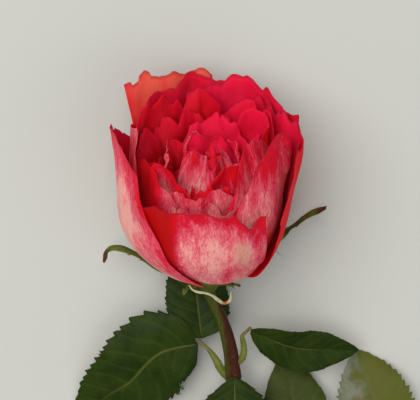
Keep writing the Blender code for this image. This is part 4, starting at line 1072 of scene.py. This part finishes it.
ROOTS = {"leaf_left_upper_stalk": np.array([6.8, -42.4, 11.6]), "leaf_right_upper_stalk": np.array([10.4, -37.4, 12.8]), "leaf_right_lower_stalk": np.array([17.6, -95.6, 5.4])}
stalk_mat = skin_material("leaf_stalk_skin", (0.130, 0.138, 0.024), (0.085, 0.096, 0.014), (0.60, 1.0, (0.135, 0.085, 0.022)), 0.48)
for name, b in LEAVES.items():
    if "tube" not in b:
        continue
    path = [np.array(q, float) for q in b["tube"]]
    first = ROOTS.get(name, path[0] - unit(path[1] - path[0]) * 2.2)
    last = path[-1] + unit(path[-1] - path[-2]) * 1.6
    rad = b["r"]
    wing_to = 0.75 if len(path) == 4 and np.linalg.norm(path[-1] - path[0]) < 25 else 0.22

    def shape(k, w, c, rad=rad, wing_to=wing_to):
        r = np.interp(k[:, 0], np.linspace(0, 1, len(rad)), rad)[:, None] * 0.82
        wing = np.interp(k[:, 0], [0, 0.06, wing_to * 0.8, wing_to, 1], [0.5, 1.0, 0.75, 0.0, 0.0])[:, None]
        wide = 1 + wing * 1.05 * np.abs(np.cos(w)) ** 5 * (1 + 0.08 * np.sin(70 * k))
        flat = 1 - 0.25 * wing * np.abs(np.cos(w)) ** 2
        groove = 1 - 0.16 * np.exp(-(((w - np.pi / 2) / 0.4) ** 2))
        return r * groove * flat, wide
    tv, tf, ta = round_tube([first, *path, last], shape, 32, 120, caps=(3, 3))
    make(name + "_fine", place(tv), tf, ta, stalk_mat, "leaf_stalks", name)

prof = [(0, 2.4), (2.0, 1.0), (4.0, -0.6), (5.5, -1.9), (6.0, -2.7), (5.7, -4.2), (4.7, -6.2), (3.7, -8.0), (3.05, -9.3), (2.7, -9.7), (0, -9.75)]
inner = curve([(r, 0, z) for r, z in prof], 60)
rp = [(0.0, inner[0, 2])] + [(max(a[0], 0.02), a[2]) for a in inner[1:-1]] + [(0.0, inner[-1, 2])]
rv, rf = turned(rp, 56)
th = np.arctan2(rv[:, 0], -rv[:, 1])
lump = 1 + 0.02 * np.sin(5 * th) + 0.012 * np.sin(11 * th + rv[:, 2])
rv = rv * np.stack([lump, lump, np.ones_like(lump)], 1)
vv = (rv[:, 2] - rv[:, 2].min()) / np.ptp(rv[:, 2])
recept_mat = skin_material("receptacle_skin", (0.060, 0.068, 0.006), (0.095, 0.105, 0.012), None, 0.45)
make("receptacle_fine", bloom_to_world(rv), rf, dict(s=th / np.pi, v=vv), recept_mat, "receptacle", "receptacle")


# ================================================================ sepals
def hair(start, ends, r, sides=6, steps=8):
    """A thin tapered lobe from start through the given points."""
    c = curve([start, *ends], steps)
    t = unit(np.gradient(c, axis=0))
    side = unit(np.cross(t, np.array([0.3, 0.2, 1.0])))
    top = np.cross(side, t)
    w = np.linspace(0, 2 * np.pi, sides, endpoint=False)
    rr = r * (1 - np.linspace(0, 1, steps)) ** 0.8 + 0.03
    V = (c[:, None, :] + side[:, None, :] * (np.cos(w)[None] * rr[:, None])[..., None] + top[:, None, :] * (np.sin(w)[None] * rr[:, None])[..., None]).reshape(-1, 3)
    F = []
    for i in range(steps - 1):
        for j in range(sides):
            a, b = i * sides + j, i * sides + (j + 1) % sides
            F.append((a, b, b + sides, a + sides))
    F.append(tuple(range(sides))[::-1])
    F.append(tuple(range((steps - 1) * sides, steps * sides)))
    return V, F


def outward(V, F):
    p = np.array([(V[f[0]], V[f[k]], V[f[k + 1]]) for f in F for k in range(1, len(f) - 1)])
    vol = np.einsum("ij,ij->i", p[:, 0] - V.mean(0), np.cross(p[:, 1] - V.mean(0), p[:, 2] - V.mean(0))).sum()
    return F if vol > 0 else [tuple(f)[::-1] for f in F]


sepal_mat = skin_material("sepal_skin", (0.050, 0.068, 0.005), (0.115, 0.125, 0.013), (0.905, 0.95, (0.075, 0.007, 0.006)), 0.60, 420)
LOBES = {  # (run along the sepal, side, length, rise)
    "sepal_left": [(0.40, 1, 3.6, 1.6), (0.47, 1, 5.0, 2.6), (0.55, 1, 3.4, 1.4), (0.62, -1, 2.0, 0.5), (0.30, -1, 1.6, 0.3), (0.50, -1, 1.6, 0.2)],
    "sepal_right": [(0.72, 1, 2.1, 0.3), (0.68, -1, 2.2, 0.4), (0.80, 1, 1.7, 0.2), (0.78, -1, 1.8, 0.3)],
    "sepal_front_right": [(0.6, 1, 1.6, 0.4), (0.8, -1, 1.2, 0.3)],
    "sepal_under": [(0.5, 1, 3.0, 0.4), (0.6, -1, 3.0, 0.4)],
    "sepal_front_left": [(0.7, 1, 1.4, 0.2)],
}
for name, b in SEPALS.items():
    path = [np.array(q, float) for q in b["path"]]
    path[0] = path[0] * np.array([0.86, 0.86, 1.0])
    shape = SEPAL_SHAPE
    if name == "sepal_right":
        shape = ([0, 0.08, 0.3, 0.55, 0.8, 0.94, 1.0], [0.75, 1.0, 0.76, 0.64, 0.86, 0.72, 0.36])
        path[-1] = path[-1] + np.array([1.4, -0.2, 0.6])
    if name == "sepal_left":
        shape = ([0, 0.08, 0.3, 0.55, 0.8, 0.94, 1.0], [0.75, 1.0, 0.80, 0.50, 0.46, 0.46, 0.24])
    bb = dict(b, path=path, shape=shape, fold=-14, wave=0.25, freq=17, up=(0, 0, 1))
    s, v = np.linspace(-1, 1, 21), np.linspace(0, 1, 90)
    mid = bloom_to_world(blade(bb, s, v))
    n = grid_normals(mid)
    mid = mid + n * (0.18 * np.exp(-((s[None, :] / 0.12) ** 2)) * (1 - v[:, None]))[..., None]
    mid[..., 2] = np.maximum(mid[..., 2], 0.25)
    half = 0.5 * (0.5 - 0.22 * np.abs(s[None, :]) ** 2) * (1 - 0.35 * v[:, None])
    V, F, A = fine_shell(mid, half, dict(s=s[None, :] + 0 * v[:, None], v=v[:, None] + 0 * s[None, :]))
    F = outward(V, [tuple(f) for f in F])
    n0 = len(V)
    parts_v, parts_f, parts_a = [V], list(F), [A["v"] + (0.05 if name == "sepal_left" else 0.0)]
    along = unit(np.gradient(mid[:, 10], axis=0))
    for run, sd, length, rise in LOBES.get(name, []):
        i = int(run * 89)
        p0 = mid[i, 10 + sd * 6]
        acr = unit(mid[i, 10 + sd * 9] - mid[i, 10])
        up = n[i, 10] * np.sign(n[i, 10][2] + 1e-9)
        e1 = p0 + acr * length * 0.45 + along[i] * length * 0.35
        e2 = p0 + acr * length * 0.75 + along[i] * length * 0.9 + up * rise * 0.3
        hv, hf = hair(p0 - acr * 0.4, [e1, e2], 0.34)
        hv[:, 2] = np.maximum(hv[:, 2], 0.12)
        hf = outward(hv, hf)
        parts_f += [tuple(q + n0 for q in f) for f in hf]
        parts_v.append(hv)
        parts_a.append(np.full(len(hv), 0.80))
        n0 += len(hv)
    if name == "sepal_right":
        off = np.array(ORIGIN_SHIFT)
        hv, hf = hair(mid[20, 10], [np.array([20.0, 7.5, 20.0]) + off, np.array([23.6, 5.2, 22.0]) + off, np.array([27.2, 2.9, 22.4]) + off], 0.20, steps=16)
        parts_f += [tuple(q + n0 for q in f) for f in outward(hv, hf)]
        parts_v.append(hv)
        parts_a.append(np.full(len(hv), 0.70))
    allv = np.vstack(parts_v)
    make(name + "_fine", allv, parts_f, dict(v=np.concatenate(parts_a), s=np.zeros(len(allv))), sepal_mat, "sepals", name)


# ================================================================ dry thread round the neck
def thread(k, w, c):
    r = np.interp(k[:, 0], [0, 0.15, 0.4, 0.7, 0.8, 1], [0.22, 0.34, 0.42, 0.55, 0.42, 0.16])[:, None]
    return r * (1 + 0.10 * np.sin(3 * w + 40 * k)), 1 + 0.35 * np.sin(9 * k) ** 2 + 0 * w


fv, ff, fa = round_tube(FILAMENT, thread, 14, 110, caps=(2, 2))
thread_mat = skin_material(
    "dry_thread", (0.42, 0.42, 0.24), (0.52, 0.50, 0.32), None, 0.6, 500,
    lambda g, col: g.mix(g.mul(g.step(0.10, 0.02, g.math("ABSOLUTE", g.sub(g.attr("run"), 0.70))), 0.9), col, (0.45, 0.10, 0.03)),
)
make("bract_filament_fine", place(fv), ff, fa, thread_mat, "filament", "bract_filament")


# ================================================================ floor, light, camera
def floor():
    me = bpy.data.meshes.new("floor")
    me.from_pydata([(-2, -2, 0), (2, -2, 0), (2, 2, 0), (-2, 2, 0)], [], [(0, 1, 2, 3)])
    o = bpy.data.objects.new("floor", me)
    bpy.context.scene.collection.objects.link(o)
    g = Graph("floor_paper")
    n = g.noise(g.position((3, 3, 3)), 1.0, 2.0, 0.5)
    g.set(Base_Color=g.mix(n, (0.455, 0.460, 0.425), (0.470, 0.475, 0.445)), Specular_IOR_Level=0.15)
    g.set(Roughness=0.85)
    me.materials.append(g.mat)
    o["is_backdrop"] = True


def area(name, at, target, size, power, colour=(1, 1, 1)):
    d = bpy.data.lights.new(name, "AREA")
    d.energy, d.size, d.color, d.shape = power, size, colour, "DISK"
    o = bpy.data.objects.new(name, d)
    bpy.context.scene.collection.objects.link(o)
    o.location = at
    o.rotation_euler = (Vector(target) - Vector(at)).to_track_quat("-Z", "Y").to_euler()
    return o


floor()
middle = Vector((float(ORIGIN_SHIFT[0]) * MM, (BASE_Y + ORIGIN_SHIFT[1] + 20) * MM, 0.02))
area("key", middle + Vector((-0.40, 0.34, 1.15)), middle, 1.3, 17.0, (1.0, 0.985, 0.96))
area("fill", middle + Vector((0.7, -0.6, 0.95)), middle, 1.3, 4.0, (0.97, 0.98, 1.0))
world = bpy.data.worlds.new("studio")
bpy.context.scene.world = world
world.use_nodes = True
world.node_tree.nodes["Background"].inputs[0].default_value = (0.98, 0.99, 1.0, 1)
world.node_tree.nodes["Background"].inputs[1].default_value = 0.46
bpy.context.scene.view_settings.view_transform = "Standard"

SCALE = 0.35 * MM  # metres to a pixel of the 420 by 400 frame, at the bloom
cam = bpy.data.cameras.new("camera")
cam_o = bpy.data.objects.new("camera", cam)
bpy.context.scene.collection.objects.link(cam_o)
bpy.context.scene.camera = cam_o
e = math.radians(82)
z = Vector((0, math.cos(e), math.sin(e)))
y = Vector((0, math.sin(e), -math.cos(e)))
x = y.cross(z)
base = Vector((0, BASE_Y * MM, BASE_H * MM)) + Vector(ORIGIN_SHIFT) * MM
target = base + x * ((210 - 208) * SCALE) + y * ((266 - 200) * SCALE)
dist = 0.52
at = target + z * dist
cam_o.matrix_world = Matrix(((x.x, y.x, z.x, at.x), (x.y, y.y, z.y, at.y), (x.z, y.z, z.z, at.z), (0, 0, 0, 1)))
cam.sensor_width = 36
cam.lens = 36 * dist / (420 * SCALE)
cam.clip_start, cam.clip_end = 0.01, 10

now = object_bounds()
{"cad": [list(map(float, q)) for q in cad_box], "visual": [list(map(float, q)) for q in now]}
